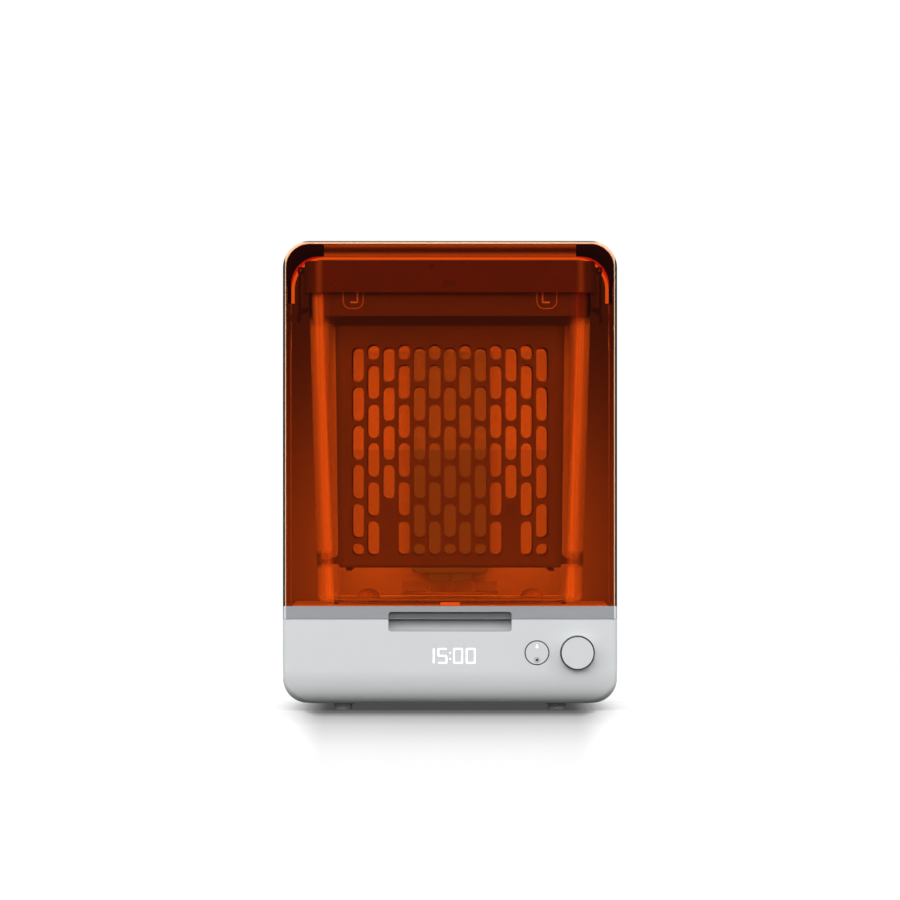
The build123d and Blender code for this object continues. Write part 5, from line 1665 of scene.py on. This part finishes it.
@dataclass
class Studio:
    """The pale floor, the lamps, the black cards and the camera."""

    eye: Point = (0.0, -9.341, 0.2265)
    lens: float = 424.0
    floor_size: float = 8.0
    floor_cuts: int = 79
    floor_front: float = -0.15
    floor_bend: float = 0.3
    floor_fall: float = 0.10
    air: float = 1.0
    ground: float = 0.05
    horizon: Range = (-0.05, 0.15)
    weave_size: float = 0.1
    weave_tone: float = 0.97
    window_half: float = 0.1422
    window_top: float = 0.3996
    window_foot: float = 0.06
    window_radius: float = 0.0255
    window_steps: int = 12
    window_reach: float = 1.5
    window_y: float = 0.147

    def floor(self) -> None:
        """Lays the floor: level under the station, then falling gently away in front of it."""
        drop_selection()
        bpy.ops.mesh.primitive_plane_add(size=self.floor_size, location=(0, 0, 0))
        plane = settle(bpy.context.active_object, "floor")
        bpy.ops.object.mode_set(mode="EDIT")
        bpy.ops.mesh.select_all(action="SELECT")
        bpy.ops.mesh.subdivide(number_cuts=self.floor_cuts)
        bpy.ops.object.mode_set(mode="OBJECT")
        for vertex in plane.data.vertices:
            ahead = self.floor_front - vertex.co.y
            if ahead > 0:
                vertex.co.z = -self.floor_fall * ahead * min(1.0, ahead / self.floor_bend)
        dress(plane, FloorPaper().build())
        plane.visible_diffuse = False

    def sky(self) -> None:
        """Makes the world: plain white where it is seen, softer as light, dark below the horizon."""
        world = bpy.data.worlds.new("studio_air")
        bpy.context.scene.world = world
        world.use_nodes = True
        sheet = Nodes(world.node_tree, "ShaderNodeOutputWorld")
        split = sheet.add("ShaderNodeSeparateXYZ")
        sheet.join(sheet.place.outputs["Generated"], split.inputs[0])
        soft, seen = (sheet.add("ShaderNodeBackground") for _ in range(2))
        for light in (soft, seen):
            light.inputs["Color"].default_value = (1, 1, 1, 1)
        rise = sheet.ramp(split.outputs["Z"], self.horizon, (self.ground, self.air))
        sheet.join(rise, soft.inputs["Strength"])
        path = sheet.add("ShaderNodeLightPath").outputs
        straight = sheet.maths("MAXIMUM", path["Is Camera Ray"], path["Is Glossy Ray"])
        straight = sheet.maths("MAXIMUM", straight, path["Is Transmission Ray"])
        air = sheet.mixed(straight, soft.outputs[0], seen.outputs[0])
        sheet.join(air, sheet.out.inputs["Surface"])

    def cloth(self, name: str, level: float) -> bpy.types.Material:
        """A card's material: an even glow at a given level, black at zero.

        Args:
            name: the card's name.
            level: the glow's level.

        Returns:
            The material.
        """
        sheet = Sheet(name + "_cloth")
        cloth = sheet.add("ShaderNodeEmission")
        weave = sheet.noise(self.weave_size)
        sheet.join(sheet.mottled(weave, neutral(level), self.weave_tone, 1.0), cloth.inputs["Color"])
        return sheet.close(cloth.outputs[0])

    def hang(self, panel: bpy.types.Object, level: float) -> None:
        """Dresses a card and keeps it out of the picture, the diffuse light and the shadows.

        Args:
            panel: the card.
            level: how bright it is.
        """
        panel.visible_camera = False
        panel.visible_diffuse = False
        panel.visible_shadow = False
        dress(panel, self.cloth(panel.name, level))

    def card(self, name: str, place: Point, size: Range, turn: Point, level: float) -> None:
        """Hangs a card that only gloss and glass see.

        Args:
            name: the card's name.
            place: its middle.
            size: its width and height in metres.
            turn: its turn about the three axes.
            level: how bright it is.
        """
        drop_selection()
        bpy.ops.mesh.primitive_plane_add(size=1.0, location=place, rotation=turn)
        panel = bpy.context.active_object
        panel.scale = (*size, 1.0)
        self.hang(settle(panel, name), level)

    def rear_window(self) -> None:
        """Hangs the black card with a window right behind the hood's rear opening."""
        inner, outer = [(self.window_half, self.window_foot)], [(self.window_reach, self.window_foot)]
        for step in range(self.window_steps + 1):
            turn = math.pi / 2 * step / self.window_steps
            inner.append((self.window_half - self.window_radius * (1 - math.cos(turn)),
                          self.window_top - self.window_radius * (1 - math.sin(turn))))
            outer.append((self.window_reach, self.window_reach))
        points = []
        for edge in (inner, outer):
            points += [(x, self.window_y, z) for x, z in edge + [(-x, z) for x, z in reversed(edge)]]
        count = len(points) // 2
        mesh = bpy.data.meshes.new("rear_window")
        mesh.from_pydata(points, [], [(i, i + 1, count + i + 1, count + i) for i in range(count - 1)])
        panel = bpy.data.objects.new("rear_window", mesh)
        bpy.context.scene.collection.objects.link(panel)
        panel.visible_glossy = False
        self.hang(panel, 0.0)

    def lamp(self, name: str, place: Point, aim: Point, size: Range, power: float) -> None:
        """Hangs one soft box.

        Args:
            name: the lamp's name.
            place: where it hangs.
            aim: the point it faces.
            size: its width and height in metres.
            power: its power in watts.
        """
        data = bpy.data.lights.new(name, "AREA")
        data.shape = "RECTANGLE"
        data.size, data.size_y = size
        data.energy = power
        lamp = bpy.data.objects.new(name, data)
        bpy.context.scene.collection.objects.link(lamp)
        lamp.location = place
        lamp.rotation_euler = (Vector(aim) - Vector(place)).to_track_quat("-Z", "Y").to_euler()

    def camera(self) -> None:
        """Sets up the camera in front of the station."""
        data = bpy.data.cameras.new("camera")
        data.lens = self.lens
        data.sensor_width = 36.0
        data.clip_end = 100.0
        camera = bpy.data.objects.new("camera", data)
        bpy.context.scene.collection.objects.link(camera)
        camera.location = self.eye
        camera.rotation_euler = (math.pi / 2, 0, 0)
        bpy.context.scene.camera = camera

    def build(self) -> None:
        """Makes the whole studio."""
        self.floor()
        self.sky()
        self.lamp("key", place=(-1.6, -2.4, 1.6), aim=(0, 0, 0.2), size=(1.2, 1.0), power=9.0)
        self.lamp("front", place=(0.0, -3.6, 1.42), aim=(0, 0, 0.2), size=(2.6, 1.4), power=54.0)
        self.lamp("top", place=(0.0, 0.3, 2.2), aim=(0, 0, 0.2), size=(2.0, 1.4), power=12.0)
        for name, x in (("left_strip", -2.0), ("right_strip", 2.0)):
            self.lamp(name, place=(x, -1.7, 0.6), aim=(0, 0, 0.25), size=(0.3, 1.8), power=9.0)
        self.lamp("inner", place=(0.0, 0.071, 0.2), aim=(0, 1.0, 0.2), size=(0.2, 0.25), power=0.6)
        upright = (math.pi / 2, 0, 0)
        self.card("front_card", place=(0, -9.8, 0.3), size=(8.0, 5.0), turn=upright, level=0.05)
        for name, x in (("left_card", -0.30), ("right_card", 0.30)):
            self.card(name, place=(x, 1.2, 0.3), size=(0.27, 1.2), turn=upright, level=0.0)
        self.card("middle_card", place=(0.0, 1.2, 0.3), size=(0.30, 0.216), turn=upright, level=0.0)
        self.rear_window()
        self.camera()


def main() -> None:
    """Builds every sub-assembly in order."""
    logging.basicConfig(level=logging.INFO, format="%(name)s: %(message)s")
    scene = bpy.context.scene
    scene.view_settings.view_transform = "Standard"
    Studio().build()
    Base().build()
    Column().build()
    Hood().build()
    WashBucket().build()
    Drive().build()
    log.info("all pieces are in place")


if __name__ == "__main__":
    main()
